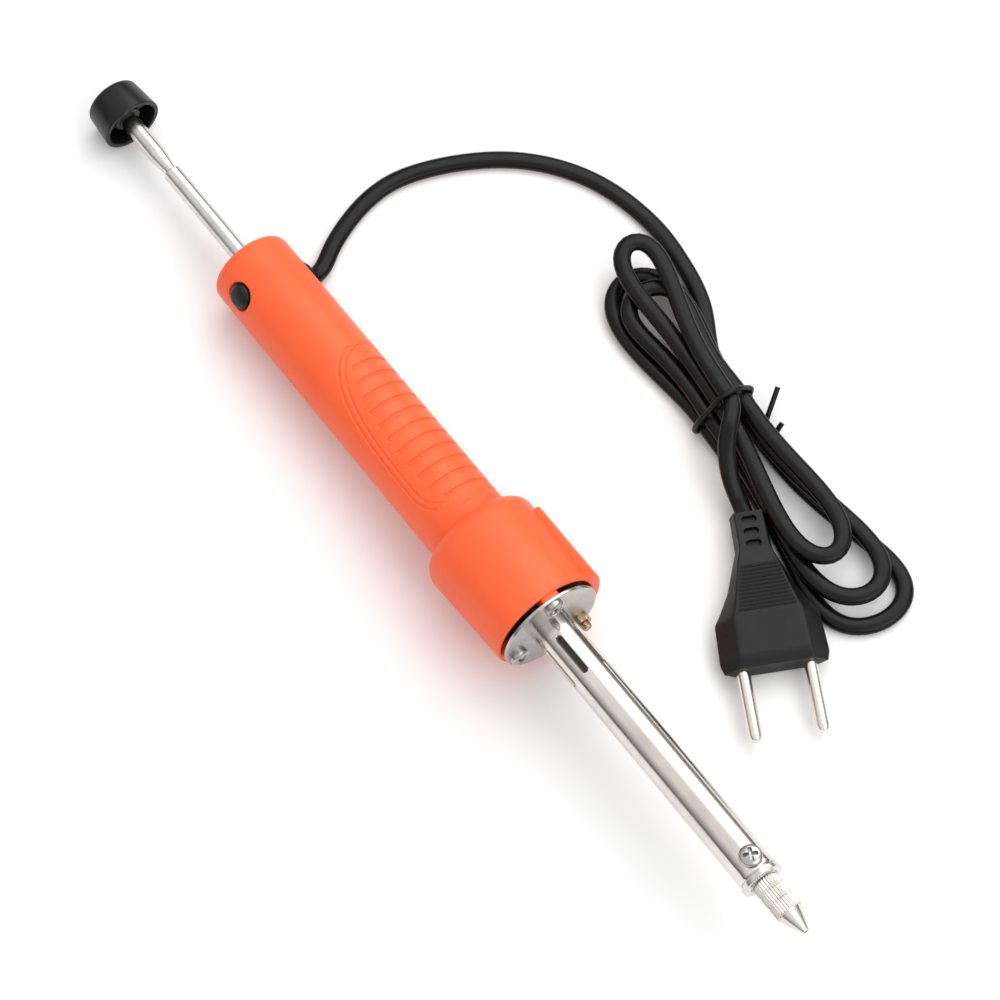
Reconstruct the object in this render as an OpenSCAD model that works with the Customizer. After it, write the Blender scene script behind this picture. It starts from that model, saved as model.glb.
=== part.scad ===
/* [Handle] */
// Length of the plain grip, from its rear face to the shoulder of the head
grip_len = 108; // [104:1:112]
// Diameter of the grip at its rear end
grip_rear_d = 24.5; // [24.2:0.1:25.2]
// Diameter of the grip where it meets the head
grip_front_d = 25.2; // [25:0.1:26]
// Radius of the rounded edge at the rear end
grip_edge = 2.5; // [1:0.1:3]
// Thickness of the rear wall that the plunger rod passes through
rear_wall = 3.2; // [2.5:0.1:4]
// Diameter of the bore inside the grip
grip_bore_d = 21; // [20.8:0.1:21.2]
// Length of the head, from its shoulder to its front rim
head_len = 34; // [32:1:38]
// Diameter of the head behind the finger guard
head_rear_d = 35; // [34:0.1:36]
// Diameter of the head at its front rim
head_front_d = 33.2; // [32.8:0.1:34]
// Radius of the rounded shoulder of the head
shoulder_round = 4.6; // [3:0.1:4.8]
// Thickness of the wall of the head at the rim
head_wall = 2; // [1.6:0.1:2.4]
// Depth of the hollow in the head, from the rim
head_hollow = 27; // [24:1:28]
// Direction of the bottom of the tool, where the guard and the cord outlet are, measured from +Y toward +Z
under_angle = -35; // [-40:1:-30]

/* [Finger guard] */
// Length of the finger guard, back from the front rim
guard_len = 26.5; // [24:0.5:28]
// Height of the guard above the head at its rear step
guard_rise = 2.9; // [2.4:0.1:3.2]
// Height of the guard above the head at the front rim
guard_front_rise = 1.9; // [1.6:0.1:2.2]
// Slope length of the rear step of the guard
guard_step = 0.9; // [0.5:0.1:1.5]
// Angle that the guard covers round the head
guard_sweep = 122; // [110:1:126]

/* [Grip ribs] */
// Direction of the middle of the ribbed panel, measured from +Y toward +Z
panel_angle = 55; // [52:1:58]
// Distance of the rear tip of the panel from the rear face
panel_start = 44.5; // [42:0.5:46]
// Length of the panel along the grip
panel_len = 59.5; // [57:0.5:60.5]
// Half of the angle that the panel covers at its widest
panel_reach = 83; // [76:1:84]
// Number of grooves across the panel
groove_count = 11; // [8:1:12]
// Distance from one groove to the next
groove_pitch = 4.8; // [4.4:0.1:4.8]
// Depth of the grooves
groove_depth = 0.5; // [0.3:0.05:0.6]
// Width of a groove at the surface
groove_w = 1.2; // [0.8:0.1:1.6]
// Distance from the rear tip of the panel to its first groove
groove_start = 7; // [6.5:0.1:7.4]
// Distance that the ends of the grooves keep from the edge of the panel
panel_margin = 4.8; // [4:0.1:5.2]

/* [Flange plate] */
// Diameter of the round plate that carries the barrel
plate_d = 31; // [30.5:0.1:31.5]
// Thickness of the plate
plate_t = 1; // [0.8:0.1:1.2]
// Gap between the rim of the head and the plate, which the posts bridge
plate_gap = 1.2; // [0.9:0.1:1.5]
// Diameter of the circle of the three fixings
fixing_circle_d = 24; // [23.6:0.1:24.4]
// Width of the posts that carry the plate
post_w = 5.8; // [5.4:0.1:6.2]
// Length of a post behind the rim
post_len = 18; // [14:1:20]

/* [Fasteners] */
// Diameter of the shank of the plate's screws and of its stud
fixing_d = 2.9; // [2.6:0.1:3]
// Length of a plate screw under its head
fixing_len = 10; // [8:1:12]
// Diameter of the heads of the plate's screws
fixing_head_d = 5.8; // [5.4:0.1:6]
// Height of the screw heads
fixing_head_h = 2; // [1.6:0.1:2.2]
// Distance across the flats of the nut on the stud
nut_af = 4.6; // [4.4:0.1:5]
// Thickness of the nut
nut_t = 2.2; // [1.8:0.1:2.6]
// Length of the stud in front of the nut
stud_over = 1.8; // [1:0.1:2.4]
// Diameter of the head of the barrel's clamp screw
clamp_head_d = 6.6; // [6:0.1:7]
// Height of the head of the clamp screw
clamp_head_h = 2.2; // [1.8:0.1:2.4]
// Diameter of the shank of the clamp screw
clamp_d = 3; // [2.8:0.1:3.2]

/* [Barrel] */
// Outer diameter of the barrel tube
barrel_d = 12; // [11.8:0.1:12.4]
// Thickness of the barrel's wall
barrel_wall = 0.5; // [0.4:0.05:0.6]
// Length of the barrel in front of the plate's seat
barrel_len = 93.5; // [90:0.5:96]
// Length of the barrel behind the plate's seat
barrel_tail = 7; // [6:0.5:8]
// Length of a vent slot
vent_len = 13.3; // [12:0.1:14]
// Width of a vent slot
vent_w = 1.9; // [1.6:0.1:2.2]
// Distance of the vent slots from the plate's seat
vent_start = 6.5; // [5.5:0.1:7.5]
// Number of vent slots round the barrel
vent_count = 6; // [4:1:8]
// Distance of the clamp screw from the front end of the barrel
clamp_back = 3.6; // [3.5:0.1:5]

/* [Nozzle] */
// Diameter of the collar in front of the barrel
collar_d = 12.7; // [12.5:0.1:13]
// Thickness of the collar
collar_t = 2.3; // [2:0.1:2.6]
// Diameter of the fluted body of the nozzle
nozzle_d = 8; // [7.6:0.1:8.2]
// Length of the fluted body of the nozzle
nozzle_body = 11.6; // [11:0.1:12.4]
// Length of the nozzle's cone
nozzle_cone = 6.6; // [6:0.1:7.2]
// Diameter of the end of the nozzle
nozzle_end_d = 2.2; // [2:0.1:2.6]
// Diameter of the suction hole
suction_d = 1.2; // [0.8:0.1:1.4]
// Length of the narrow suction hole
suction_len = 5; // [4:0.5:6]
// Diameter of the nozzle's shank inside the holder
shank_d = 6; // [5.6:0.1:6.2]
// Length of the nozzle's shank
shank_len = 11; // [10:0.5:12]
// Number of flutes round the nozzle
flute_count = 32; // [24:1:36]
// Depth of a flute
flute_depth = 0.22; // [0.1:0.02:0.3]

/* [Suction path and heater] */
// Outer diameter of the suction tube
pipe_d = 4.4; // [4:0.1:4.6]
// Wall thickness of the suction tube
pipe_wall = 0.6; // [0.4:0.1:0.7]
// Length of the tip holder inside the barrel
holder_len = 17; // [16:0.5:19]
// Depth that the suction tube enters the holder
pipe_seat = 4; // [3:0.5:4.5]
// Length of the heater's ceramic core
core_len = 52; // [46:1:56]
// Outer diameter of the ceramic core
core_d = 7; // [6.8:0.1:7.2]
// Thickness of the layer of heating wire
winding_t = 0.6; // [0.5:0.1:0.7]
// Thickness of the mica sleeve round the heating wire
mica_t = 0.5; // [0.4:0.1:0.6]
// Length of the core that is left bare at each end
core_bare = 3; // [2:0.5:4]
// Diameter of the wires inside the tool
wire_d = 1.3; // [1.1:0.1:1.4]

/* [Pump] */
// Outer diameter of the pump cylinder
pump_d = 17; // [16.6:0.1:17.2]
// Wall thickness of the pump cylinder
pump_wall = 0.7; // [0.6:0.1:0.9]
// Length of the pump cylinder
pump_len = 72; // [70:1:76]
// Distance of the pump cylinder from the rear face
pump_inset = 19; // [19:0.5:21]
// Length of the piston
piston_len = 9; // [8:0.5:10]
// Thickness of the piston's O-ring
ring_t = 1.8; // [1.6:0.1:2]
// Thickness of the front seal of the cylinder, outside the tube
seal_t = 3; // [2.5:0.1:4]
// Depth that the front seal enters the cylinder
seal_in = 4; // [3:0.5:5]
// Diameter of the return spring, from wire centre to wire centre
spring_d = 12; // [11.4:0.2:12.6]
// Diameter of the return spring's wire
spring_wire = 0.9; // [0.7:0.1:1]
// Number of turns of the return spring
spring_turns = 9; // [7:1:10]

/* [Plunger] */
// Diameter of the plunger rod
rod_d = 5.5; // [5.2:0.1:5.6]
// Diameter of the neck that the latch catches
neck_d = 4; // [3.8:0.1:4.2]
// Length of the taper down to the neck
neck_taper = 5.5; // [4:0.5:7]
// Length of the narrowest part of the neck
neck_len = 1.8; // [1.4:0.1:2.4]
// Travel of the plunger, from released to latched
plunger_travel = 45; // [42:1:46]
// Distance from the neck's shoulder to the rim of the cap
neck_to_cap = 20; // [19:1:22]
// Diameter of the cap at its open rim
cap_rim_d = 18.4; // [18:0.1:19]
// Diameter of the cap at its closed end
cap_end_d = 16.4; // [16:0.1:17]
// Length of the cap
cap_len = 11; // [10:0.5:12]
// Thickness of the cap's wall
cap_wall = 1.4; // [1.2:0.1:1.6]
// Radius of the cap's rounded end edge
cap_edge = 1.4; // [0.8:0.1:1.8]

/* [Latch] */
// Distance of the button from the rear face
button_inset = 10.8; // [10.4:0.1:11.4]
// Diameter of the release button
button_d = 7.2; // [6.8:0.1:7.4]
// Height of the button above the grip
button_rise = 0.9; // [0.5:0.1:1.2]
// Travel of the button
button_travel = 1.2; // [0.8:0.1:1.3]
// Thickness of the latch plate
latch_t = 1.2; // [1:0.1:1.3]
// Width of the latch plate
latch_w = 9.6; // [9.4:0.1:10]
// Diameter of the hole in the latch plate
latch_hole_d = 7; // [6.9:0.05:7.2]

/* [Cord outlet] */
// Distance of the cord grommet from the rear face
grommet_inset = 10.5; // [10:0.1:11.5]
// Diameter of the grommet outside the grip
grommet_d = 11; // [10.5:0.1:11.4]
// Height of the grommet above the grip
grommet_rise = 2; // [1.6:0.1:2.6]

/* [Cord and plug] */
// Width of the flat cord
cord_w = 5.2; // [4.8:0.1:5.4]
// Thickness of the flat cord
cord_t = 3.2; // [2.8:0.1:3.4]
// Length of the plug body, from its neck to the pin face
plug_len = 46; // [44:0.5:48]
// Width of the plug body at the pins
plug_w = 31.4; // [30:0.2:33]
// Thickness of the plug body
plug_t = 11; // [10.4:0.2:12]
// Width of the plug's neck
neck_w = 10.2; // [9.6:0.2:11]
// Distance from one pin to the other
pin_pitch = 19; // [18:0.1:20]
// Diameter of a pin
pin_d = 4; // [3.8:0.1:4.8]
// Length of a pin in front of the body
pin_len = 21; // [18:0.5:22]
// Diameter of the wire tie round the hank
tie_d = 1.6; // [1.2:0.1:1.8]

/* [Hidden] */
$fn = 64;

// One overrun serves all cuts
over = 0.5;
// Radial clearance of pieces that slide on each other
slide_gap = 0.05;
// Radial clearance of pieces that are only put together
fit_gap = 0.1;

// Places along the tool's axis, measured from the rear face of the flange plate toward the nozzle
piston_gap = 1;
rim_x = -plate_gap;
shoulder_x = rim_x - head_len;
rear_x = shoulder_x - grip_len;
inner_rear_x = rear_x + rear_wall;
guard_x = rim_x - guard_len;
pump_x = rear_x + pump_inset;
pump_front_x = pump_x + pump_len;
button_x = rear_x + button_inset;
grommet_x = rear_x + grommet_inset;
latch_x = button_x - button_d / 2 - latch_t / 2;
collar_x = barrel_len;
nozzle_x = collar_x + collar_t;
cone_x = nozzle_x + nozzle_body;
tip_x = cone_x + nozzle_cone;
clamp_x = barrel_len - clamp_back;
holder_x = barrel_len - holder_len;
core_x = holder_x - core_len;
piston_x = pump_x + piston_gap;
ring_x = piston_x + piston_len / 2;
clip_x = pump_front_x + seal_t;
neck_x = latch_x + latch_t / 2 - plunger_travel;
cap_rim_x = neck_x - neck_to_cap;
cap_end_x = cap_rim_x - cap_len;

// Directions round the axis, measured from +Y toward +Z
top_angle = under_angle + 180;
clamp_angle = 90;
vent_angle = 109;
fixing_angles = [85, 197, 323];

// Shape of the ribbed panel: the share of its length where it is widest, and how blunt it is
panel_peak_share = 0.78;
panel_blunt = 2.6;

// Small sizes of the handle
guard_bevel = 0.6;
rib_count = 4;
rib_w = 1.5;
rod_hole_gap = 0.4;
button_gap = 0.2;
button_bevel = 0.4;

// Sizes inside the latch
button_low = 7.3;
button_flange_t = 1.1;
button_flange_r = 5;
button_crown = 1.1;
latch_spring_d = 4;
latch_spring_wire = 0.4;
latch_spring_turns = 4;
latch_rim = 1.6;
pocket_floor = 3.9;

// Sizes of the grommet and of the way for the wires
grommet_neck_r = 4;
grommet_flange_r = 4.8;
grommet_flange_t = 1.1;
grommet_low = 8;
grommet_round = 1.2;
wire_floor = 6.1;
wire_way = 4.6;
wire_step = 0.9;
splice_angle = 260;
splice_spread = 13;
splice_circle_r = 10.6;
splice_d = 3.2;
splice_len = 8;
splice_x = -20;
lead_spread = 30;
wire_turn_share = 0.4;
wire_sides = 6;

// Facets of rounded edges and of the wound springs
dome_steps = 8;
coil_steps = 12;
coil_sides = 5;
oring_fn = 32;
// A path counts as upright below this share of a level heading
upright_limit = 0.01;

// Sizes inside the pump
stub_d = 4;
neck_chamfer = 0.3;
pipe_short = 1;
piston_nut_af = 7;
piston_nut_t = 2.6;
piston_nut_over = 0.6;
clip_t = 1;
clip_w = 1.5;
clip_bite = 0.5;
clip_mouth = 30;

// Sizes of the plunger cap
cap_boss_r = 4.2;
cap_boss_short = 2.2;
cap_rib_t = 1.2;
cap_rib_short = 3;
cap_rib_count = 4;

// Sizes of the insulating washer behind the plate
washer_t = 1.5;
washer_back = 3.5;
washer_gap = 0.3;

// Sizes of the screws' drive recesses, and the share of a head's height that its straight rim takes
rim_share = 0.4;
drive_w = 0.8;
drive_share = 0.6;
drive_depth = 1.1;

// Sizes of the nozzle's inside
nozzle_bore_d = 3.2;
pipe_bore_d = pipe_d - 2 * pipe_wall;

// Place of the middle of the pin face on the floor, and the direction of the pins from +X toward +Y
plug_at = [92.2, 45.4];
plug_angle = -27.5;
// Sections of the plug body from the pin face back: shares of its length, of half its width, of half
// its flat's width and of half its thickness
plug_shares = [
    [0, 0.94, 0.69, 0.6], [0.04, 1, 0.65, 1], [0.32, 0.96, 0.62, 1], [0.38, 0.84, 0.56, 0.97],
    [0.52, 0.61, 0.46, 0.89], [0.67, 0.45, 0.36, 0.82], [0.77, 0.34, 0.27, 0.76]
];
neck_flat_share = 0.8;
neck_thin_share = 0.72;
grip_shares = [0.36, 0.64];
grip_grooves = 12;
grip_groove_w = 0.6;
grip_groove_depth = 0.4;
grip_flat_share = 0.9;
slot_shares = [0.79, 0.87, 0.95];
slot_l = 4.2;
slot_w = 1.7;
slot_depth = 1.2;
pin_root = 8;
root_d = 3;

// Points of the cord's lead, from inside the grommet to inside the hank
lead_points = [
    [-82.9, 9.8, 5.7], [-82.7, 12, 4], [-82.8, 14.5, 2.4], [-83.8, 18, 1.7], [-87, 23, 1.6], [-90.5, 30, 1.6],
    [-94, 40, 1.6], [-94.5, 50, 1.6], [-92, 60, 1.6], [-87, 71, 1.6], [-80, 81.5, 1.6], [-70, 91, 1.6],
    [-58, 97.5, 1.9], [-45, 101, 2.9], [-36, 101.4, 3.9], [-28, 100, 4.5]
];
// Points of the cord's tail, from inside the hank to inside the plug's neck
tail_points = [[33, 78, 4.6], [37, 75, 4.8], [41.5, 71.9, 5.2], [46.2, 69.4, 5.5], [51.8, 66.4, 5.5]];
cord_sides = 8;

// The hank's middle on the floor, its direction from +X toward +Y, its height and the width of its waist
hank_at = [21.8, 81];
hank_angle = -6;
hank_t = 8.6;
waist_w = 18.4;
// The two lobes of the hank, each from a small round near the waist to a large one: place and radius
hank_lobes = [[14, 1.6, 5.4, 62.5, 6.5, 15.5], [-10, 0, 8, -42, -0.5, 19]];
// Points of the tie's long and short end, in the hank's own directions
tie_ends = [
    [[0, 10, 4], [3, 10.3, 3.6], [6, 10.7, 3.4], [8.3, 11.2, 3.8], [6.8, 12.2, 5], [2.7, 14.6, 7.6]],
    [[0, 10, 1.6], [4, 10.4, 1.2], [9, 10.7, 1.1], [12.4, 11.6, 2.2], [11.4, 12.6, 5]]
];
tie_sides = 6;

// Radii that other sizes follow
grip_rear_r = grip_rear_d / 2;
grip_front_r = grip_front_d / 2;
grip_bore_r = grip_bore_d / 2;
head_rear_r = head_rear_d / 2;
head_front_r = head_front_d / 2;
guard_r = head_rear_r + guard_rise;
guard_front_r = head_front_r + guard_front_rise;
cap_rim_r = cap_rim_d / 2;
cap_end_r = cap_end_d / 2;
rod_r = rod_d / 2;
pump_r = pump_d / 2;
pump_bore_r = pump_r - pump_wall;
barrel_r = barrel_d / 2;
barrel_bore_r = barrel_r - barrel_wall;
pipe_r = pipe_d / 2;

// The tool lies on the rim of its cap and on the finger guard, so its nose is a little raised
lay_angle = atan2(guard_r - cap_rim_r, guard_x + guard_step - cap_rim_x);
lift = guard_r * cos(lay_angle) - (guard_x + guard_step) * sin(lay_angle);
// The middle of the tool stands over the origin
far_x = tip_x * cos(lay_angle) + nozzle_end_d / 2 * sin(lay_angle);
near_x = (cap_end_x + cap_edge) * cos(lay_angle) - (cap_end_r - cap_edge) * sin(lay_angle) - cap_edge;
shift_x = -(far_x + near_x) / 2;
shift_y = -(guard_r - head_rear_r) / 2;

// Radius of the outside of the grip at a place along the axis
function grip_r(x) = grip_rear_r + (grip_front_r - grip_rear_r) * (x - rear_x) / grip_len;

// A quarter round of an outline, of radius r about the centre c
function arc(c, r, from, to) =
    [for (i = [0 : dome_steps]) let (a = from + (to - from) * i / dome_steps) c + r * [cos(a), sin(a)]];

// A quarter of an oval from the edge of a head or button, at radius r and height low, up to its middle
function dome(r, low, rise) =
    [for (i = [0 : dome_steps]) let (a = 90 * i / dome_steps) [r * cos(a), low + rise * sin(a)]];

// Lays what is drawn along +X down on the floor
module laid() {
    translate([shift_x, shift_y, lift]) rotate([0, -lay_angle, 0]) children();
}

// A profile of [place along the axis, radius] points, turned about the tool's axis
module turned(profile, sweep = 360) {
    rotate([90, 0, 90]) rotate_extrude(angle = sweep) polygon([for (p = profile) [p[1], p[0]]]);
}

// A round bar along the axis from one place to another
module bar(from, to, r) {
    translate([from, 0, 0]) rotate([0, 90, 0]) cylinder(h = to - from, r = r);
}

// A bar that tapers from radius r1 to radius r2
module taper(from, to, r1, r2) {
    translate([from, 0, 0]) rotate([0, 90, 0]) cylinder(h = to - from, r1 = r1, r2 = r2);
}

// Turns what points along +Z at the place x so that it points outward in a direction round the axis
module outward(x, angle) {
    translate([x, 0, 0]) rotate([angle - 90, 0, 0]) children();
}

// Half of the angle that the ribbed panel covers at a share of its length, a blunt oval
function panel_half(share) =
    let (run = share < panel_peak_share ? panel_peak_share : 1 - panel_peak_share)
    let (away = abs(share - panel_peak_share) / run)
    panel_reach * pow(max(0, 1 - pow(away, panel_blunt)), 1 / panel_blunt);

// The outline of the handle without its guard
handle_profile = concat(
    [[rear_x, 0]],
    arc([rear_x + grip_edge, grip_rear_r - grip_edge], grip_edge, 180, 90),
    [[shoulder_x, grip_front_r]],
    arc([shoulder_x + shoulder_round, head_rear_r - shoulder_round], shoulder_round, 180, 90),
    [[rim_x, head_front_r], [rim_x, 0]]
);

// The finger guard, a raised sector over the underside of the head
module guard() {
    rotate([under_angle - guard_sweep / 2, 0, 0]) turned([
        [guard_x, head_front_r - head_wall / 2],
        [guard_x, head_rear_r],
        [guard_x + guard_step, guard_r],
        [rim_x - guard_bevel, guard_front_r],
        [rim_x, guard_front_r - guard_bevel],
        [rim_x, head_front_r - head_wall / 2]
    ], guard_sweep);
}

// One post that carries the flange plate, flush with the outside of the head
module post(angle) {
    intersection() {
        outward(rim_x - post_len, angle)
            translate([0, -post_w / 2, fixing_circle_d / 2 - post_w / 2])
                cube([post_len - rim_x, post_w, head_rear_r]);
        taper(rim_x - head_len, 0, head_rear_r, head_front_r);
    }
}

// Four ribs that keep the pump cylinder in the middle of the grip
module pump_ribs() {
    for (i = [0 : rib_count - 1])
        outward(pump_x, under_angle + (i + 0.5) * 360 / rib_count)
            translate([0, -rib_w / 2, pump_r + fit_gap])
                cube([pump_len, rib_w, grip_bore_r - pump_r]);
}

// The grooves of the ribbed panel, each an arc of a ring
module panel_grooves() {
    for (i = [0 : groove_count - 1]) {
        from_tip = groove_start + i * groove_pitch;
        x = rear_x + panel_start + from_tip;
        r = grip_r(x);
        half = panel_half(from_tip / panel_len) - panel_margin / r * 180 / PI;
        rotate([panel_angle - half, 0, 0])
            turned([
                [x - groove_w / 2, r + groove_depth / 4],
                [x, r - groove_depth],
                [x + groove_w / 2, r + groove_depth / 4]
            ], 2 * half);
    }
}

// The moulded handle: grip, head with its finger guard, and the posts for the flange plate
module handle_body() {
    color("orangered") laid() difference() {
        union() {
            difference() {
                union() {
                    turned(handle_profile);
                    guard();
                }
                bar(inner_rear_x, 0, grip_bore_r);
                bar(rim_x - head_hollow, 0, head_front_r - head_wall);
            }
            for (angle = fixing_angles) post(angle);
            pump_ribs();
        }
        bar(rear_x - over, inner_rear_x + over, rod_r + rod_hole_gap);
        bar(clip_x - slide_gap, clip_x + clip_t + slide_gap, grip_bore_r + clip_bite);
        outward(button_x, top_angle) cylinder(h = grip_front_r + over, r = button_d / 2 + button_gap);
        outward(button_x, top_angle) translate([0, 0, grip_r(button_x) - button_bevel]) cylinder(
            h = 2 * button_bevel,
            r1 = button_d / 2 + button_gap,
            r2 = button_d / 2 + button_gap + 2 * button_bevel
        );
        outward(grommet_x, under_angle) cylinder(h = grip_front_r + over, r = grommet_neck_r + fit_gap);
        for (angle = fixing_angles)
            outward(rim_x - fixing_len, angle) translate([0, 0, fixing_circle_d / 2])
                rotate([0, 90, 0]) cylinder(h = fixing_len - rim_x + over, r = fixing_d / 2 + fit_gap);
        panel_grooves();
    }
}

// A spring of round wire that stands along +Z, its wire's centre on a circle of radius r
module coil(height, r, wire, turns) {
    steps = turns * coil_steps;
    path = [for (i = [0 : steps])
        let (a = 360 * i / coil_steps) [r * cos(a), r * sin(a), wire / 2 + (height - wire) * i / steps]];
    tube(path, oval(wire, wire, coil_sides));
}

// An oval outline of a given width, thickness and number of sides
function oval(w, t, sides) =
    [for (i = [0 : sides - 1]) let (a = 360 * i / sides) [w / 2 * cos(a), t / 2 * sin(a)]];

// Directions along a path of points, taken between the neighbours of each point
function headings(path) =
    let (n = len(path)) [for (i = [0 : n - 1])
        let (d = path[min(i + 1, n - 1)] - path[max(i - 1, 0)]) d / norm(d)];

// The sideways direction at each point of a path, level with the floor
function sideways(heading) =
    let (c = cross(heading, [0, 0, 1])) norm(c) < upright_limit ? [1, 0, 0] : c / norm(c);

// The sections of a tube of a given outline swept along a path
function sections(path, outline) =
    let (ahead = headings(path)) [for (i = [0 : len(path) - 1])
        let (side = sideways(ahead[i]), up = cross(side, ahead[i]))
            [for (p = outline) path[i] + side * p[0] + up * p[1]]];

// A solid skin over sections of equally many points, closed at both ends
module skin(rings) {
    n = len(rings);
    k = len(rings[0]);
    function middle(ring) = [for (c = [0 : 2]) ([for (p = ring) p[c]] * [for (p = ring) 1]) / k];
    polyhedron(
        points = concat([for (ring = rings) each ring], [middle(rings[0]), middle(rings[n - 1])]),
        faces = concat(
            [for (i = [0 : n - 2]) for (j = [0 : k - 1])
                let (a = i * k + j, b = i * k + (j + 1) % k, c = (i + 1) * k + (j + 1) % k, d = (i + 1) * k + j)
                    each [[a, b, c], [a, c, d]]],
            [for (j = [0 : k - 1]) [n * k, (j + 1) % k, j]],
            [for (j = [0 : k - 1]) [n * k + 1, (n - 1) * k + j, (n - 1) * k + (j + 1) % k]]
        )
    );
}

// A solid tube of a given outline swept along a path
module tube(path, outline) {
    skin(sections(path, outline));
}

// A point by its place along the axis, its distance from the axis and its direction round it
function spot(x, r, angle) = [x, r * cos(angle), r * sin(angle)];

// A cross-shaped drive recess cut down into a screw head whose top is at the height h
module drive(head_d, h) {
    for (a = [0, 90]) rotate([0, 0, a])
        translate([-head_d * drive_share / 2, -drive_w / 2, h - drive_depth])
            cube([head_d * drive_share, drive_w, drive_depth + over]);
}

// A pan-head screw that stands with its head's seat at the height 0
module pan_screw(head_d, head_h, d, length) {
    difference() {
        union() {
            rotate_extrude() polygon(concat([[0, 0], [head_d / 2, 0]],
                dome(head_d / 2, head_h * rim_share, head_h * (1 - rim_share))));
            translate([0, 0, -length]) cylinder(h = length + over, r = d / 2);
        }
        drive(head_d, head_h);
    }
}

// The block behind the rear wall that guides the rod and holds the latch
module rear_bush() {
    low = rod_r + slide_gap + latch_rim;
    color("dimgray") laid() difference() {
        bar(inner_rear_x, pump_x, grip_bore_r - fit_gap);
        bar(inner_rear_x - over, pump_x + over, rod_r + slide_gap);
        outward(latch_x, top_angle)
            translate([-latch_t / 2 - fit_gap, -latch_w / 2 - fit_gap, -low - button_travel - fit_gap])
                cube([latch_t + 2 * fit_gap, latch_w + 2 * fit_gap, low + button_travel + grip_bore_r]);
        outward(button_x, top_angle) translate([0, 0, pocket_floor])
            cylinder(h = grip_bore_r, r = button_flange_r + button_gap);
        outward(grommet_x, under_angle) translate([0, 0, wire_floor])
            cylinder(h = grip_bore_r, r = grommet_flange_r + fit_gap);
        outward(grommet_x, under_angle) translate([0, -wire_way / 2, wire_floor])
            cube([pump_x - grommet_x + over, wire_way, grip_bore_r]);
    }
}

// The round release button, with the flange that holds it in and stands on the latch plate
module release_button() {
    top = grip_r(button_x) + button_rise;
    r = button_d / 2;
    color([0.1, 0.1, 0.1]) laid() outward(button_x, top_angle) rotate_extrude() polygon(concat(
        [[0, button_low], [button_flange_r, button_low], [button_flange_r, button_low + button_flange_t],
            [r, button_low + button_flange_t]],
        dome(r, top - button_crown, button_crown)));
}

// The steel plate whose hole catches the neck of the rod
module latch_plate() {
    centre = latch_hole_d / 2 - rod_r - slide_gap;
    low = centre - latch_hole_d / 2 - latch_rim;
    color("silver") laid() outward(latch_x, top_angle) difference() {
        translate([-latch_t / 2, -latch_w / 2, low]) cube([latch_t, latch_w, button_low - low]);
        translate([-latch_t, 0, centre]) rotate([0, 90, 0]) cylinder(h = 2 * latch_t, r = latch_hole_d / 2);
    }
}

// The small spring that lifts the button
module latch_spring() {
    color("silver") laid() outward(button_x, top_angle) translate([0, 0, pocket_floor])
        coil(button_low - pocket_floor, latch_spring_d / 2, latch_spring_wire, latch_spring_turns);
}

// The black grommet that the cord leaves through
module cord_grommet() {
    top = grip_r(grommet_x) + grommet_rise;
    r = grommet_d / 2;
    color([0.1, 0.1, 0.1]) laid() union() {
        outward(grommet_x, under_angle) translate([0, 0, grommet_low]) {
            cylinder(h = grommet_flange_t, r = grommet_flange_r);
            cylinder(h = top - grommet_low - over, r = grommet_neck_r);
        }
        difference() {
            outward(grommet_x, under_angle) rotate_extrude() polygon(concat(
                [[0, grip_bore_r], [r, grip_bore_r]],
                arc([r - grommet_round, top - grommet_round], grommet_round, 0, 90), [[0, top]]));
            taper(rear_x, shoulder_x, grip_rear_r, grip_front_r);
        }
    }
}

// The tube that the piston runs in
module pump_cylinder() {
    color("gainsboro") laid() difference() {
        bar(pump_x, pump_front_x, pump_r);
        bar(pump_x - over, pump_front_x + over, pump_bore_r);
    }
}

// The plug that closes the front of the pump round the suction tube
module cylinder_seal() {
    color("dimgray") laid() difference() {
        union() {
            bar(pump_front_x - seal_in, pump_front_x, pump_bore_r - fit_gap);
            bar(pump_front_x, pump_front_x + seal_t, grip_bore_r - fit_gap);
        }
        bar(pump_front_x - seal_in - over, pump_front_x + seal_t + over, pipe_r + slide_gap);
        outward(pump_front_x - over, under_angle) translate([0, -wire_way / 2, pump_r + fit_gap])
            cube([seal_t + 2 * over, wire_way, grip_bore_r - pump_r]);
    }
}

// The clip in the grip's bore that keeps the pump from moving forward
module retaining_clip() {
    color("silver") laid() difference() {
        bar(clip_x, clip_x + clip_t, grip_bore_r + clip_bite - fit_gap);
        bar(clip_x - over, clip_x + clip_t + over, grip_bore_r - clip_w);
        rotate([under_angle - clip_mouth / 2, 0, 0]) turned([
            [clip_x - over, 0], [clip_x - over, grip_bore_r + 2 * clip_bite],
            [clip_x + clip_t + over, grip_bore_r + 2 * clip_bite], [clip_x + clip_t + over, 0]], clip_mouth);
    }
}

// The piston, with the groove for its O-ring
module piston() {
    color("whitesmoke") laid() difference() {
        bar(piston_x, piston_x + piston_len, pump_bore_r - slide_gap);
        difference() {
            bar(ring_x - ring_t / 2 - slide_gap, ring_x + ring_t / 2 + slide_gap, pump_r);
            bar(ring_x - ring_t, ring_x + ring_t, pump_bore_r - ring_t - slide_gap);
        }
        bar(piston_x - over, piston_x + piston_len + over, stub_d / 2 + slide_gap);
    }
}

// The rubber ring that seals the piston
module piston_oring() {
    color([0.1, 0.1, 0.1]) laid() translate([ring_x, 0, 0]) rotate([0, 90, 0])
        rotate_extrude() translate([pump_bore_r - slide_gap / 2 - ring_t / 2, 0])
            circle(r = ring_t / 2, $fn = oring_fn);
}

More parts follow.
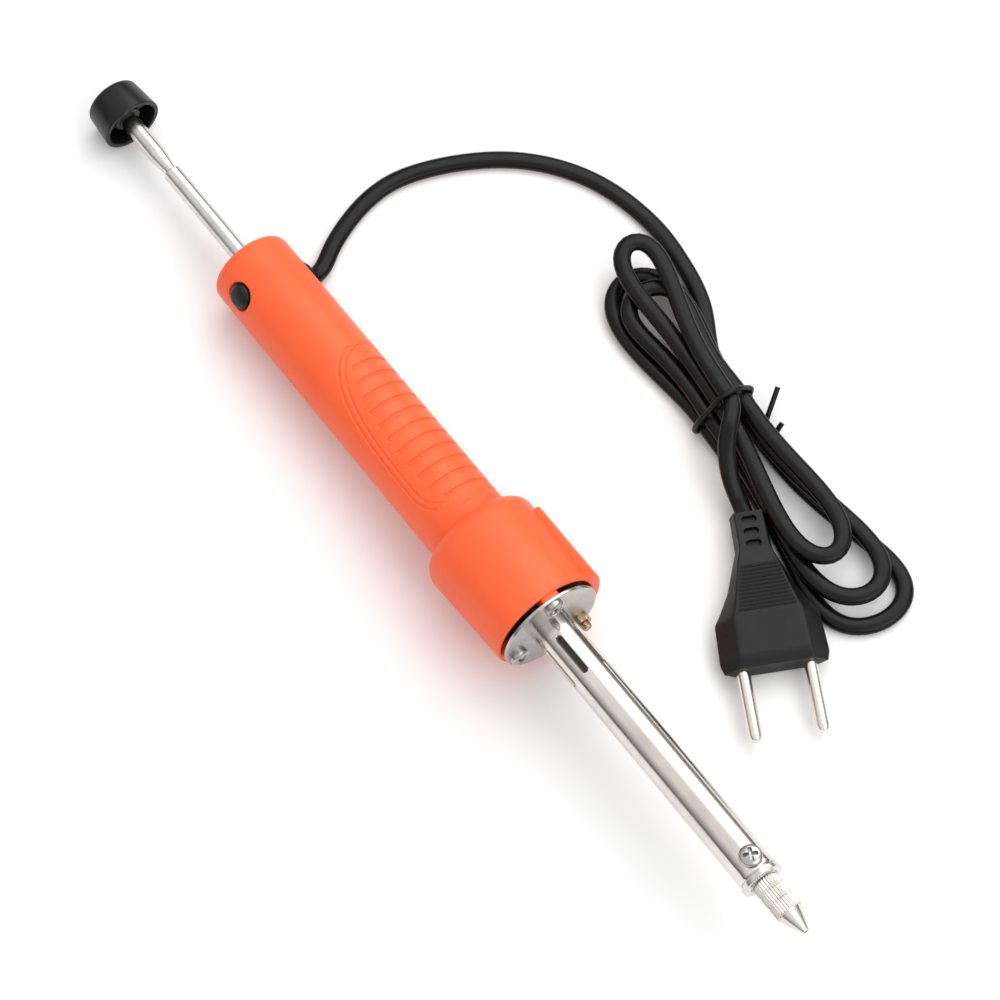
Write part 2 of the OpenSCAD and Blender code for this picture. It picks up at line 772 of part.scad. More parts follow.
// The nut that holds the piston on the rod
module piston_nut() {
    color("silver") laid() difference() {
        translate([piston_x + piston_len, 0, 0]) rotate([0, 90, 0])
            cylinder(h = piston_nut_t, r = piston_nut_af / 2 / cos(30), $fn = 6);
        bar(piston_x, piston_x + piston_len + piston_nut_t + over, stub_d / 2 + slide_gap);
    }
}

// The plunger rod, with the neck that the latch catches and the stub for the piston
module plunger_rod() {
    neck_r = neck_d / 2;
    color("gainsboro") laid() turned([
        [cap_end_x + cap_wall, 0],
        [cap_end_x + cap_wall, rod_r],
        [neck_x - neck_len - neck_taper, rod_r],
        [neck_x - neck_len, neck_r],
        [neck_x, neck_r],
        [neck_x, rod_r - neck_chamfer],
        [neck_x + neck_chamfer, rod_r],
        [piston_x, rod_r],
        [piston_x, stub_d / 2],
        [piston_x + piston_len + piston_nut_t + piston_nut_over, stub_d / 2],
        [piston_x + piston_len + piston_nut_t + piston_nut_over, 0]
    ]);
}

// The push cap on the end of the rod, a cup that opens toward the handle
module plunger_cap() {
    boss_end = cap_rim_x - cap_boss_short;
    color([0.1, 0.1, 0.1]) laid() union() {
        turned(concat(
            [[cap_end_x, 0]],
            arc([cap_end_x + cap_edge, cap_end_r - cap_edge], cap_edge, 180, 90),
            [[cap_rim_x, cap_rim_r], [cap_rim_x, cap_rim_r - cap_wall],
                [cap_end_x + cap_wall, cap_end_r - cap_wall], [cap_end_x + cap_wall, 0]]));
        difference() {
            union() {
                bar(cap_end_x + cap_wall / 2, boss_end, cap_boss_r);
                for (i = [0 : cap_rib_count - 1])
                    outward(cap_end_x + cap_wall / 2, top_angle + (i + 0.5) * 360 / cap_rib_count)
                        translate([0, -cap_rib_t / 2, 0])
                            cube([cap_len - cap_rib_short, cap_rib_t, cap_end_r - cap_wall / 2]);
            }
            bar(cap_end_x + cap_wall, cap_rim_x, rod_r + slide_gap);
        }
    }
}

// The spring that drives the piston back when the latch lets go
module return_spring() {
    color("silver") laid() translate([piston_x + piston_len, 0, 0]) rotate([0, 90, 0])
        coil(pump_front_x - seal_in - piston_x - piston_len, spring_d / 2, spring_wire, spring_turns);
}

// The tube that leads the molten solder from the tip holder to the pump
module suction_tube() {
    color("silver") laid() difference() {
        bar(pump_front_x - seal_in + pipe_short, holder_x + pipe_seat, pipe_r);
        bar(pump_front_x - seal_in, holder_x + pipe_seat + over, pipe_bore_d / 2);
    }
}

// The ceramic tube that carries the heating wire
module heater_core() {
    color("ivory") laid() difference() {
        bar(core_x, holder_x, core_d / 2);
        bar(core_x - over, holder_x + over, pipe_r + fit_gap);
    }
}

// The layer of heating wire on the core
module heater_winding() {
    color("darkgray") laid() difference() {
        bar(core_x + core_bare, holder_x - core_bare, core_d / 2 + winding_t);
        bar(core_x, holder_x, core_d / 2);
    }
}

// The mica sleeve between the heating wire and the barrel
module mica_sleeve() {
    color("burlywood") laid() difference() {
        bar(core_x + core_bare + wire_d, holder_x - core_bare / 2, core_d / 2 + winding_t + fit_gap + mica_t);
        bar(core_x, holder_x, core_d / 2 + winding_t + fit_gap);
    }
}

// A slot with round ends, cut from the axis outward
module vent(angle) {
    outward(vent_start + vent_w / 2, angle) union() {
        cylinder(h = barrel_d, r = vent_w / 2);
        translate([0, -vent_w / 2, 0]) cube([vent_len - vent_w, vent_w, barrel_d]);
        translate([vent_len - vent_w, 0, 0]) cylinder(h = barrel_d, r = vent_w / 2);
    }
}

// The polished barrel, a thin tube with vent slots behind the heater
module barrel() {
    color("lightgray") laid() difference() {
        bar(-barrel_tail, barrel_len, barrel_r);
        bar(-barrel_tail - over, barrel_len + over, barrel_bore_r);
        for (i = [0 : vent_count - 1]) vent(vent_angle + i * 360 / vent_count);
        outward(clamp_x, clamp_angle) cylinder(h = barrel_d, r = clamp_d / 2 + fit_gap);
    }
}

// The round plate that closes the head and carries the barrel
module flange_plate() {
    color("lightgray") laid() difference() {
        bar(0, plate_t, plate_d / 2);
        bar(-over, plate_t + over, barrel_r + slide_gap);
        for (angle = fixing_angles) outward(-over, angle) translate([0, 0, fixing_circle_d / 2])
            rotate([0, 90, 0]) cylinder(h = plate_t + 2 * over, r = fixing_d / 2 + fit_gap);
    }
}

// The black washer that keeps the barrel's heat and the wires apart behind the plate
module insulating_washer() {
    half = post_w / 2 + washer_gap;
    color([0.12, 0.12, 0.12]) laid() difference() {
        bar(-washer_back - washer_t, -washer_back, head_front_r - head_wall - fit_gap);
        bar(-barrel_tail, 0, barrel_r + fit_gap);
        for (angle = fixing_angles) outward(-barrel_tail, angle)
            translate([0, -half, fixing_circle_d / 2 - half]) cube([barrel_tail, 2 * half, head_rear_r]);
    }
}

// The two screws that hold the plate on its posts
module flange_screws() {
    color("silver") laid() for (i = [0, 1]) outward(plate_t, fixing_angles[i])
        translate([0, 0, fixing_circle_d / 2]) rotate([0, 90, 0])
            pan_screw(fixing_head_d, fixing_head_h, fixing_d, fixing_len);
}

// The threaded stud at the plate's third fixing
module flange_stud() {
    color("darkgoldenrod") laid() outward(rim_x - fixing_len, fixing_angles[2])
        translate([0, 0, fixing_circle_d / 2]) rotate([0, 90, 0])
            cylinder(h = fixing_len - rim_x + plate_t + nut_t + stud_over, r = fixing_d / 2);
}

// The nut on the stud
module flange_nut() {
    color("darkgoldenrod") laid() outward(plate_t, fixing_angles[2]) translate([0, 0, fixing_circle_d / 2])
        rotate([0, 90, 0]) difference() {
            cylinder(h = nut_t, r = nut_af / 2 / cos(30), $fn = 6);
            translate([0, 0, -over]) cylinder(h = nut_t + 2 * over, r = fixing_d / 2 + slide_gap);
        }
}

// The steel holder in the mouth of the barrel, with the collar in front of it
module tip_holder() {
    color("silver") laid() difference() {
        union() {
            bar(holder_x, collar_x, barrel_bore_r - slide_gap);
            bar(collar_x, nozzle_x, collar_d / 2);
        }
        bar(holder_x - over, holder_x + pipe_seat, pipe_r + slide_gap);
        bar(holder_x, nozzle_x, nozzle_bore_d / 2);
        bar(nozzle_x - shank_len, nozzle_x + over, shank_d / 2 + slide_gap);
        outward(clamp_x, clamp_angle) cylinder(h = barrel_d, r = clamp_d / 2 + slide_gap);
    }
}

// The fluted nozzle that melts and sucks the solder
module nozzle() {
    points = [for (i = [0 : 2 * flute_count - 1])
        let (a = 180 * i / flute_count, r = nozzle_d / 2 - (i % 2) * flute_depth) r * [cos(a), sin(a)]];
    color("silver") laid() difference() {
        union() {
            bar(nozzle_x - shank_len, nozzle_x, shank_d / 2);
            translate([nozzle_x, 0, 0]) rotate([0, 90, 0]) linear_extrude(nozzle_body) polygon(points);
            taper(cone_x, tip_x, nozzle_d / 2 - flute_depth, nozzle_end_d / 2);
        }
        bar(nozzle_x - shank_len - over, tip_x - suction_len, nozzle_bore_d / 2);
        bar(nozzle_x, tip_x + over, suction_d / 2);
    }
}

// The screw that clamps the nozzle through the barrel and the holder
module barrel_screw() {
    color("silver") laid() outward(clamp_x, clamp_angle) translate([0, 0, barrel_r])
        pan_screw(clamp_head_d, clamp_head_h, clamp_d, barrel_r - shank_d / 2);
}

// The two crimped splices between the cord's wires and the heater's leads
module wire_splices() {
    color("lightgray") laid() for (side = [-1, 1])
        outward(splice_x, splice_angle + side * splice_spread) translate([0, 0, splice_circle_r])
            rotate([0, 90, 0]) cylinder(h = splice_len, r = splice_d / 2);
}

// The two leads from the splices into the barrel and on to the heating wire
module heater_leads() {
    near_r = core_d / 2 + wire_d / 2 + fit_gap;
    color("whitesmoke") laid() for (side = [-1, 1])
        let (angle = splice_angle + side * splice_spread, end_angle = splice_angle + side * lead_spread)
        tube([
            spot(splice_x + splice_len, splice_circle_r, angle),
            spot(splice_x + splice_len + wire_d, splice_circle_r, angle),
            spot(-barrel_tail - 2 * wire_d, (splice_circle_r + near_r) / 2, angle),
            spot(-barrel_tail - wire_d / 2, near_r, end_angle),
            spot(core_x, near_r, end_angle),
            spot(core_x + core_bare, near_r, end_angle)
        ], oval(wire_d, wire_d, wire_sides));
}

// The two wires of the cord inside the handle, from the grommet to the splices
module supply_wires() {
    way_r = (pump_r + grip_bore_r) / 2;
    way_half = wire_d / 2 + fit_gap;
    color("saddlebrown") laid() for (side = [-1, 1])
        let (start_angle = under_angle + side * asin(way_half / grommet_low))
        let (near_angle = under_angle + side * asin(way_half / way_r))
        let (angle = splice_angle - 360 + side * splice_spread)
        tube([
            spot(grommet_x, grommet_low - fit_gap, start_angle),
            spot(grommet_x, grommet_low - wire_step, start_angle),
            spot(grommet_x + grommet_flange_r, grommet_low - wire_step, start_angle),
            spot(pump_x - wire_d, way_r - wire_step / 2, near_angle),
            spot(pump_x, way_r, near_angle),
            spot(clip_x + clip_t, way_r, near_angle),
            spot(splice_x - splice_len, way_r, near_angle + (angle - near_angle) * wire_turn_share),
            spot(splice_x - 2 * wire_d, splice_circle_r, angle),
            spot(splice_x, splice_circle_r, angle)
        ], oval(wire_d, wire_d, wire_sides));
}

// Puts what is drawn along the hank, with its middle at the origin, where the hank lies
module hanked() {
    translate([hank_at[0], hank_at[1], 0]) rotate([0, 0, hank_angle]) children();
}

// The band of the wire tie, an upright frame round the hank's waist that is a given amount larger
module tie_frame(more) {
    low = more == 0 ? tie_d : 0;
    translate([-tie_d / 2, -waist_w / 2 + tie_d / 2 - more, low])
        cube([tie_d, waist_w - tie_d + 2 * more, hank_t - tie_d / 2 - low + more]);
}

// The flat cord from the grommet to the hank
module cord_lead() {
    color([0.1, 0.1, 0.1]) tube(lead_points, oval(cord_w, cord_t, cord_sides));
}

// The tied hank, drawn in at its waist, with the groove that the tie sits in
module cord_hank() {
    color([0.1, 0.1, 0.1]) hanked() difference() {
        linear_extrude(hank_t) {
            for (lobe = hank_lobes) hull() {
                translate([lobe[0], lobe[1]]) circle(r = lobe[2]);
                translate([lobe[3], lobe[4]]) circle(r = lobe[5]);
            }
            circle(r = waist_w / 2);
        }
        difference() {
            tie_frame(tie_d);
            tie_frame(0);
        }
    }
}

// The flat cord from the hank to the plug
module cord_tail() {
    color([0.1, 0.1, 0.1]) tube(tail_points, oval(cord_w, cord_t, cord_sides));
}

// The wire tie round the middle of the hank, its ends turned aside
module cord_tie() {
    color([0.1, 0.1, 0.1]) hanked() {
        difference() {
            tie_frame(tie_d);
            tie_frame(0);
        }
        for (path = tie_ends) tube(path, oval(tie_d, tie_d, tie_sides));
    }
}

// Puts what is drawn with the pin face at x = 0 and the pins along +X where the plug lies
module plugged() {
    translate([plug_at[0], plug_at[1], plug_t / 2]) rotate([0, 0, plug_angle]) children();
}

// A six-sided section of the plug body, widest at half its height
function plug_section(x, half, flat, high) =
    [[x, half, 0], [x, flat, high], [x, -flat, high], [x, -half, 0], [x, -flat, -high], [x, flat, -high]];

// The moulded plug, with grip grooves on both flats and slots in its flexible neck
module plug_body() {
    rings = concat(
        [for (p = plug_shares)
            plug_section(-p[0] * plug_len, p[1] * plug_w / 2, p[2] * plug_w / 2, p[3] * plug_t / 2)],
        [plug_section(-plug_len, neck_w / 2, neck_w / 2 * neck_flat_share, plug_t / 2 * neck_thin_share)]);
    grip_from = grip_shares[0] * plug_len;
    grip_step = (grip_shares[1] - grip_shares[0]) * plug_len / (grip_grooves - 1);
    color([0.1, 0.1, 0.1]) plugged() difference() {
        skin(rings);
        for (side = [-1, 1]) translate([-pin_root, side * pin_pitch / 2, 0]) rotate([0, 90, 0])
            cylinder(h = pin_root + over, r = root_d / 2 + slide_gap);
        for (flip = [0, 180], i = [0 : grip_grooves - 1]) {
            x = grip_from + i * grip_step;
            share = x / plug_len;
            half = lookup(share, [for (p = plug_shares) [p[0], p[2]]]) * plug_w / 2 * grip_flat_share;
            high = lookup(share, [for (p = plug_shares) [p[0], p[3]]]) * plug_t / 2;
            rotate([flip, 0, 0]) translate([-x - grip_groove_w / 2, -half, high - grip_groove_depth])
                cube([grip_groove_w, 2 * half, plug_t]);
        }
        for (flip = [0, 180], share = slot_shares)
            rotate([flip, 0, 0])
                translate([-share * plug_len - slot_w / 2, -slot_l / 2, plug_t / 2 * neck_thin_share - slot_depth])
                    cube([slot_w, slot_l, plug_t]);
    }
}

// The two round pins of the plug, rooted in its body
module plug_pins() {
    r = pin_d / 2;
    color("silver") plugged() for (side = [-1, 1])
        translate([0, side * pin_pitch / 2, 0]) rotate([90, 0, 90])
            rotate_extrude() polygon(concat(
                [[0, -pin_root], [root_d / 2, -pin_root], [root_d / 2, 0], [r, 0]], dome(r, pin_len - r, r)));
}

handle_body();
rear_bush();
release_button();
latch_plate();
latch_spring();
cord_grommet();
pump_cylinder();
cylinder_seal();
retaining_clip();
piston();
piston_oring();
piston_nut();
plunger_rod();
plunger_cap();
return_spring();
suction_tube();
heater_core();
heater_winding();
mica_sleeve();
barrel();
flange_plate();
insulating_washer();
flange_screws();
flange_stud();
flange_nut();
tip_holder();
nozzle();
barrel_screw();
wire_splices();
heater_leads();
supply_wires();
cord_lead();
cord_hank();
cord_tail();
cord_tie();
plug_body();
plug_pins();
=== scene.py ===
"""A hand-held desoldering iron with its tied cord and plug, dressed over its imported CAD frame."""

import bpy
import numpy as np
from mathutils import Matrix


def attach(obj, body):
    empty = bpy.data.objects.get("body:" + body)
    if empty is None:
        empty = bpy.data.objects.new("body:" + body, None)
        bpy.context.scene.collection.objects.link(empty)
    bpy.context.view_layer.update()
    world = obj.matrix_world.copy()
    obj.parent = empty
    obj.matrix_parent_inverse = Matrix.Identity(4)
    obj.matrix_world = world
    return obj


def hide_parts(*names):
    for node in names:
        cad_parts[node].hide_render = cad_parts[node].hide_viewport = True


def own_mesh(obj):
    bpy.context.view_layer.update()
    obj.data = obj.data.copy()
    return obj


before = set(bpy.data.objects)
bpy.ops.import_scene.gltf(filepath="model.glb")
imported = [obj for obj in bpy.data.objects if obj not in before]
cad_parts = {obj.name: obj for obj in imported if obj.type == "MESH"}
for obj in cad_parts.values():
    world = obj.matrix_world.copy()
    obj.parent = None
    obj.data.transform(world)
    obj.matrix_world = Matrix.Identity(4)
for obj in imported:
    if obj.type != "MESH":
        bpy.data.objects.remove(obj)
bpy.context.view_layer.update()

# Camera
# It looks down on the iron from 1.4 m away through a long lens, so that nothing looks foreshortened.
# The picture's right, its top and the way back to the camera are given in the row frame.
PICTURE_RIGHT, PICTURE_UP = (0.599, 0.8007, 0.0), (-0.7378, 0.5519, 0.3887)
PICTURE_BACK = (0.3112, -0.2328, 0.9213)
CAMERA_AT = (0.4442, -0.31395, 1.3036)
SENSOR_W, LENS = 36.0, 180.0


def facing(x, y, z, place):
    """The matrix of a thing at place, in metres, with its own axes along x, y and z."""
    rows = np.array([x, y, z, place], float).T
    return Matrix([*rows.tolist(), [0, 0, 0, 1]])


camera = bpy.data.cameras.new("camera")
camera.sensor_width = SENSOR_W
camera.lens = LENS
camera.clip_end = 10.0
eye = bpy.data.objects.new("camera", camera)
eye.matrix_world = facing(PICTURE_RIGHT, PICTURE_UP, PICTURE_BACK, CAMERA_AT)
bpy.context.scene.collection.objects.link(eye)
bpy.context.scene.camera = eye

# Light and floor
# A white studio sweep: a sky that brightens upward from a dark horizon and is a little greyer straight
# above, one large soft lamp, a weaker one opposite, and a plain white floor that takes the shadow.
SKY = (
    (0.0, (0.04, 0.04, 0.042)), (0.75, (1.0, 1.0, 1.0)), (0.7501, (0.883, 0.883, 0.888)),
    (1.0, (1.0, 1.0, 1.0)))
SKY_STRENGTH = 1.02
LIT_POINT = (0, 0.04, 0)
FLOOR_HALF = 3.0
FLOOR_WHITE, FLOOR_ROUGH, FLOOR_SHINE = 0.93, 0.9, 0.1

bpy.context.scene.view_settings.view_transform = "Standard"
world = bpy.data.worlds.new("studio")
bpy.context.scene.world = world
world.use_nodes = True
sky = world.node_tree.nodes["Background"]
heading = world.node_tree.nodes.new("ShaderNodeTexCoord")
split = world.node_tree.nodes.new("ShaderNodeSeparateXYZ")
ramp = world.node_tree.nodes.new("ShaderNodeValToRGB")
stops = ramp.color_ramp.elements
for height, _ in SKY[1:-1]:
    stops.new(height)
for stop, (height, colour) in zip(stops, SKY):
    stop.position = height
    stop.color = (*colour, 1)
world.node_tree.links.new(heading.outputs["Generated"], split.inputs[0])
world.node_tree.links.new(split.outputs["Z"], ramp.inputs["Fac"])
world.node_tree.links.new(ramp.outputs["Color"], sky.inputs["Color"])
sky.inputs["Strength"].default_value = SKY_STRENGTH


def lamp(name, place, size, power):
    """A square area lamp at place that looks at the lit point, its side in metres, its power in watts."""
    data = bpy.data.lights.new(name, "AREA")
    data.size = size
    data.energy = power
    back = np.array(place, float) - LIT_POINT
    back /= np.linalg.norm(back)
    right = np.cross([0, 0, 1], back)
    right /= np.linalg.norm(right)
    obj = bpy.data.objects.new(name, data)
    obj.matrix_world = facing(right, np.cross(back, right), back, place)
    bpy.context.scene.collection.objects.link(obj)


lamp("key_lamp", (-0.35, 0.75, 1.0), size=1.25, power=9.0)
lamp("fill_lamp", (0.9, 0.3, 0.9), size=0.9, power=4.5)

floor_mesh = bpy.data.meshes.new("floor")
floor_corners = [(x * FLOOR_HALF, y * FLOOR_HALF, 0) for x, y in ((-1, -1), (1, -1), (1, 1), (-1, 1))]
floor_mesh.from_pydata(floor_corners, [], [(0, 1, 2, 3)])
floor = bpy.data.objects.new("floor", floor_mesh)
bpy.context.scene.collection.objects.link(floor)
paper = bpy.data.materials.new("white_paper")
paper.use_nodes = True
paper_shader = paper.node_tree.nodes["Principled BSDF"]
paper_shader.inputs["Base Color"].default_value = (FLOOR_WHITE, FLOOR_WHITE, FLOOR_WHITE, 1)
paper_shader.inputs["Roughness"].default_value = FLOOR_ROUGH
paper_shader.inputs["Specular IOR Level"].default_value = FLOOR_SHINE
floor_mesh.materials.append(paper)

# Cord
# A flat black two-core mains cord, extruded in soft PVC. It is one length: from the grommet round over
# the floor to the tied hank, through its six half turns, and out over them to the plug.
CORD_W, CORD_T, CORD_CORNER = 5.2, 3.2, 0.86
CORD_STEP, FLOOR_GAP = 1.6, 0.02
HANK_AT, HANK_ANGLE = np.array([21.8, 81.0]), np.radians(-6.0)
# How far the strands are squeezed up under the tie, over what length, and within what distance of it
WAIST_LIFT, LIFT_SPREAD, LIFT_WITHIN = 1.7, 13, 30
TURN_SAMPLES = 40
# Across and height of each strand at the waist, in the order in which the cord passes it
WAIST = [[5.8, 1.6], [-5.8, 1.6], [5.0, 5.4], [-4.4, 5.4], [5.6, 9.2], [-0.8, 9.2], [1.6, 13.0]]
# Of each half turn: way along the hank, reach, half width, middle, height of its end, how soon it gets
# there on the way out and on the way back, and how late it widens
LOOPS = [
    [1, 75.95, 20.85, 6.55, 1.6, 0.67, 0.7, 2.55],
    [-1, 50.04, 16.2, -1.15, 3.42, 1.4, 2.6, 1.33],
    [1, 67.97, 16.78, 6.12, 5.4, 0.89, 1.22, 2.04],
    [-1, 43.16, 12.61, -0.35, 7.37, 1.66, 1.91, 2.44],
    [1, 54.12, 12.59, 2.82, 9.2, 0.88, 0.88, 1.55],
    [-1, 55.87, 9.8, 3.08, 12.5, 2.2, 2.08, 2.44]]
LEAD = [
    [-82.9, 9.8, 5.7], [-82.7, 12.0, 4.2], [-83.3, 15.0, 2.6], [-84.5, 18.0, 1.8], [-87.0, 22.0, 1.6],
    [-91.0, 30.0, 1.6], [-94.0, 40.0, 1.6], [-94.5, 50.0, 1.6], [-92.0, 60.0, 1.6], [-87.0, 71.0, 1.6],
    [-80.0, 81.5, 1.6], [-70.0, 91.0, 1.6], [-58.0, 97.8, 1.6], [-45.0, 101.4, 1.6], [-33.9, 102.4, 1.6],
    [-24.3, 101.6, 1.6], [-15.4, 100.0, 1.6], [-7.6, 97.2, 1.6], [0.0, 92.8, 1.6], [7.6, 89.2, 1.6],
    [14.5, 87.7, 1.6], [18.0, 87.2, 1.6]]
TAIL = [
    [28.0, 78.6, 14.0], [32.4, 73.9, 13.4], [37.0, 70.6, 11.8], [41.8, 68.6, 9.0], [46.4, 67.6, 6.6],
    [51.9, 66.2, 5.5]]


def smooth_line(points, step):
    """Natural cubic spline through the points against their running length, sampled every step mm."""
    points = np.array(points, float)
    s = np.r_[0, np.cumsum(np.linalg.norm(np.diff(points, axis=0), axis=1))]
    h = np.diff(s)
    n = len(s)
    a = np.zeros((n, n))
    b = np.zeros((n, points.shape[1]))
    a[0, 0] = a[-1, -1] = 1
    i = np.arange(1, n - 1)
    a[i, i - 1], a[i, i], a[i, i + 1] = h[:-1], 2 * (h[:-1] + h[1:]), h[1:]
    slope = np.diff(points, axis=0) / h[:, None]
    b[1:-1] = 6 * (slope[1:] - slope[:-1])
    bend = np.linalg.solve(a, b)
    t = np.linspace(0, s[-1], max(2, int(round(s[-1] / step)) + 1))
    k = np.clip(np.searchsorted(s, t, side="right") - 1, 0, n - 2)
    before, after, hk = (s[k + 1] - t)[:, None], (t - s[k])[:, None], h[k][:, None]
    cubes = (bend[k] * before ** 3 + bend[k + 1] * after ** 3) / (6 * hk)
    start, end = points[k] / hk - bend[k] * hk / 6, points[k + 1] / hk - bend[k + 1] * hk / 6
    return cubes + start * before + end * after


def headings(line):
    """The direction of a line at each of its points, from its neighbours on both sides."""
    ahead = np.gradient(line, axis=0)
    return ahead / np.linalg.norm(ahead, axis=1)[:, None]


def carried(line, ahead, side, outline):
    """An outline of (sideways, upward) points at each point of a line, square to its heading."""
    upward = np.cross(side, ahead)
    return line[:, None] + side[:, None] * outline[None, :, :1] + upward[:, None] * outline[None, :, 1:]


def swept(line, outline):
    """An outline carried along a line and kept level: its side is the heading crossed with upright."""
    ahead = headings(line)
    side = np.cross(ahead, [0, 0, 1.0])
    side /= np.maximum(np.linalg.norm(side, axis=1), 1e-6)[:, None]
    return carried(line, ahead, side, outline)


def turned_flat(points, angle, place):
    """Points turned round the upright axis by an angle, then moved by place."""
    points = np.array(points, float)
    c, s = np.cos(angle), np.sin(angle)
    x, y, z = points[..., 0], points[..., 1], points[..., 2]
    return np.stack([place[0] + x * c - y * s, place[1] + x * s + y * c, place[2] + z], -1)


def in_hank(points):
    """Points given along, across and above the hank, turned to where it lies."""
    return turned_flat(points, HANK_ANGLE, (*HANK_AT, 0))


def half_turn(loop, near, far):
    """One loop from the waist and back, for a from 0 to a full turn: its share of the reach is
    (1 - cos a) / 2, and it lies across by the sine of a times that share to the power late."""
    way, reach, half, middle, top, ease_out, ease_back, late = loop
    a = np.linspace(0, 2 * np.pi, TURN_SAMPLES + 1)[:-1]
    share = (1 - np.cos(a)) / 2
    out = a <= np.pi
    across = np.where(out, near[0], far[0])
    height = np.where(out, near[1], far[1])
    ease = np.where(out, ease_out, ease_back)
    width = half * (0.54 + 0.23 * late)
    v = across + (middle - across) * share ** 1.4 + way * width * np.sin(a) * share ** late
    return np.stack([way * reach * share, v, height + (top - height) * share ** ease], 1)


def bulged(n, w, t, power):
    """A superellipse outline of n points, w wide and t high."""
    a = np.arange(n) * 2 * np.pi / n
    c, s = np.cos(a), np.sin(a)
    return np.stack([w / 2 * np.sign(c) * np.abs(c) ** power, t / 2 * np.sign(s) * np.abs(s) ** power], 1)


def surface_mesh(name, grids, sharp):
    """One mesh of grids of points[row, around] in mm. Rows join up and close round, each end closes in
    a fan to its middle, the sign of the volume turns the faces out, and edges over sharp degrees show."""
    points, faces, start = [], [], 0
    for grid in grids:
        rows, around = grid.shape[:2]
        i, j = np.meshgrid(np.arange(rows - 1), np.arange(around), indexing="ij")
        a, b = i * around + j, i * around + (j + 1) % around
        quads = np.stack([a, b, b + around, a + around], -1).reshape(-1, 4)
        ring = np.arange(around)
        first = np.stack([np.full(around, rows * around), np.roll(ring, -1), ring], 1)
        ring = ring + (rows - 1) * around
        last = np.stack([ring, np.roll(ring, -1), np.full(around, rows * around + 1)], 1)
        flat = np.vstack([grid.reshape(-1, 3), grid[0].mean(0), grid[-1].mean(0)])
        corners = (flat - flat.mean(0))[np.vstack([quads[:, [0, 1, 2]], quads[:, [0, 2, 3]], first, last])]
        volume = np.einsum("ij,ij->i", corners[:, 0], np.cross(corners[:, 1], corners[:, 2])).sum()
        for block in (quads, first, last):
            faces += (block[:, ::1 if volume > 0 else -1] + start).tolist()
        points.append(flat)
        start += len(flat)
    mesh = bpy.data.meshes.new(name)
    mesh.from_pydata((np.vstack(points) / 1000.0).tolist(), [], faces)
    mesh.validate()
    mesh.polygons.foreach_set("use_smooth", np.ones(len(mesh.polygons), bool))
    mesh.set_sharp_from_angle(angle=np.radians(sharp))
    mesh.update()
    return mesh


def piece(name, mesh, material, body, node):
    """Puts a finished mesh into the scene, on its body and in place of its CAD node or nodes."""
    obj = bpy.data.objects.new(name, mesh)
    bpy.context.scene.collection.objects.link(obj)
    mesh.materials.append(material)
    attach(obj, body)
    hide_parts(*([node] if isinstance(node, str) else node))
    return obj


# Grain and handling marks, shared by all finishes: a fine bumpy height, and a slow mottled mask
grain = bpy.data.node_groups.new("grain_and_marks", "ShaderNodeTree")
for label, value in (("Scale", 900.0), ("Mark Scale", 60.0), ("Low", 0.3), ("High", 0.5)):
    made = grain.interface.new_socket(name=label, in_out="INPUT", socket_type="NodeSocketFloat")
    made.default_value = value
for label in ("Height", "Marks", "Rough"):
    grain.interface.new_socket(name=label, in_out="OUTPUT", socket_type="NodeSocketFloat")
given, result = grain.nodes.new("NodeGroupInput"), grain.nodes.new("NodeGroupOutput")
place = grain.nodes.new("ShaderNodeTexCoord")
fine = grain.nodes.new("ShaderNodeTexNoise")
fine.inputs["Detail"].default_value = 3.0
slow = grain.nodes.new("ShaderNodeTexNoise")
slow.inputs["Detail"].default_value = 5.0
slow.inputs["Roughness"].default_value = 0.65
spread = grain.nodes.new("ShaderNodeMapRange")
spread.inputs["From Min"].default_value = 0.35
spread.inputs["From Max"].default_value = 0.65
level = grain.nodes.new("ShaderNodeMapRange")
for start, end in (
        (place.outputs["Object"], fine.inputs["Vector"]), (place.outputs["Object"], slow.inputs["Vector"]),
        (given.outputs["Scale"], fine.inputs["Scale"]), (given.outputs["Mark Scale"], slow.inputs["Scale"]),
        (fine.outputs["Fac"], result.inputs["Height"]), (slow.outputs["Fac"], spread.inputs["Value"]),
        (spread.outputs["Result"], result.inputs["Marks"]), (spread.outputs["Result"], level.inputs["Value"]),
        (given.outputs["Low"], level.inputs["To Min"]), (given.outputs["High"], level.inputs["To Max"]),
        (level.outputs["Result"], result.inputs["Rough"])):
    grain.links.new(start, end)


def finish(name, colour, other, rough, grain_scale=1500.0, mark_scale=60.0, bump=0.05, depth=0.0001,
           metallic=0.0, coat=0.0, specular=0.5):
    """A solid finish: two close colours mottled together, a roughness that varies between the two given
    ones, and a fine grain as bump."""
    material = bpy.data.materials.new(name)
    material.use_nodes = True
    tree = material.node_tree
    shader = tree.nodes["Principled BSDF"]
    marks = tree.nodes.new("ShaderNodeGroup")
    marks.node_tree = grain
    settings = {"Scale": grain_scale, "Mark Scale": mark_scale, "Low": rough[0], "High": rough[1]}
    for label, value in settings.items():
        marks.inputs[label].default_value = value
    mix = tree.nodes.new("ShaderNodeMix")
    mix.data_type = "RGBA"
    mix.inputs["A"].default_value = (*colour, 1)
    mix.inputs["B"].default_value = (*other, 1)
    rise = tree.nodes.new("ShaderNodeBump")
    rise.inputs["Strength"].default_value = bump
    rise.inputs["Distance"].default_value = depth
    tree.links.new(marks.outputs["Marks"], mix.inputs["Factor"])
    tree.links.new(mix.outputs["Result"], shader.inputs["Base Color"])
    tree.links.new(marks.outputs["Rough"], shader.inputs["Roughness"])
    tree.links.new(marks.outputs["Height"], rise.inputs["Height"])
    tree.links.new(rise.outputs["Normal"], shader.inputs["Normal"])
    shader.inputs["Metallic"].default_value = metallic
    shader.inputs["Coat Weight"].default_value = coat
    shader.inputs["Specular IOR Level"].default_value = specular
    return material


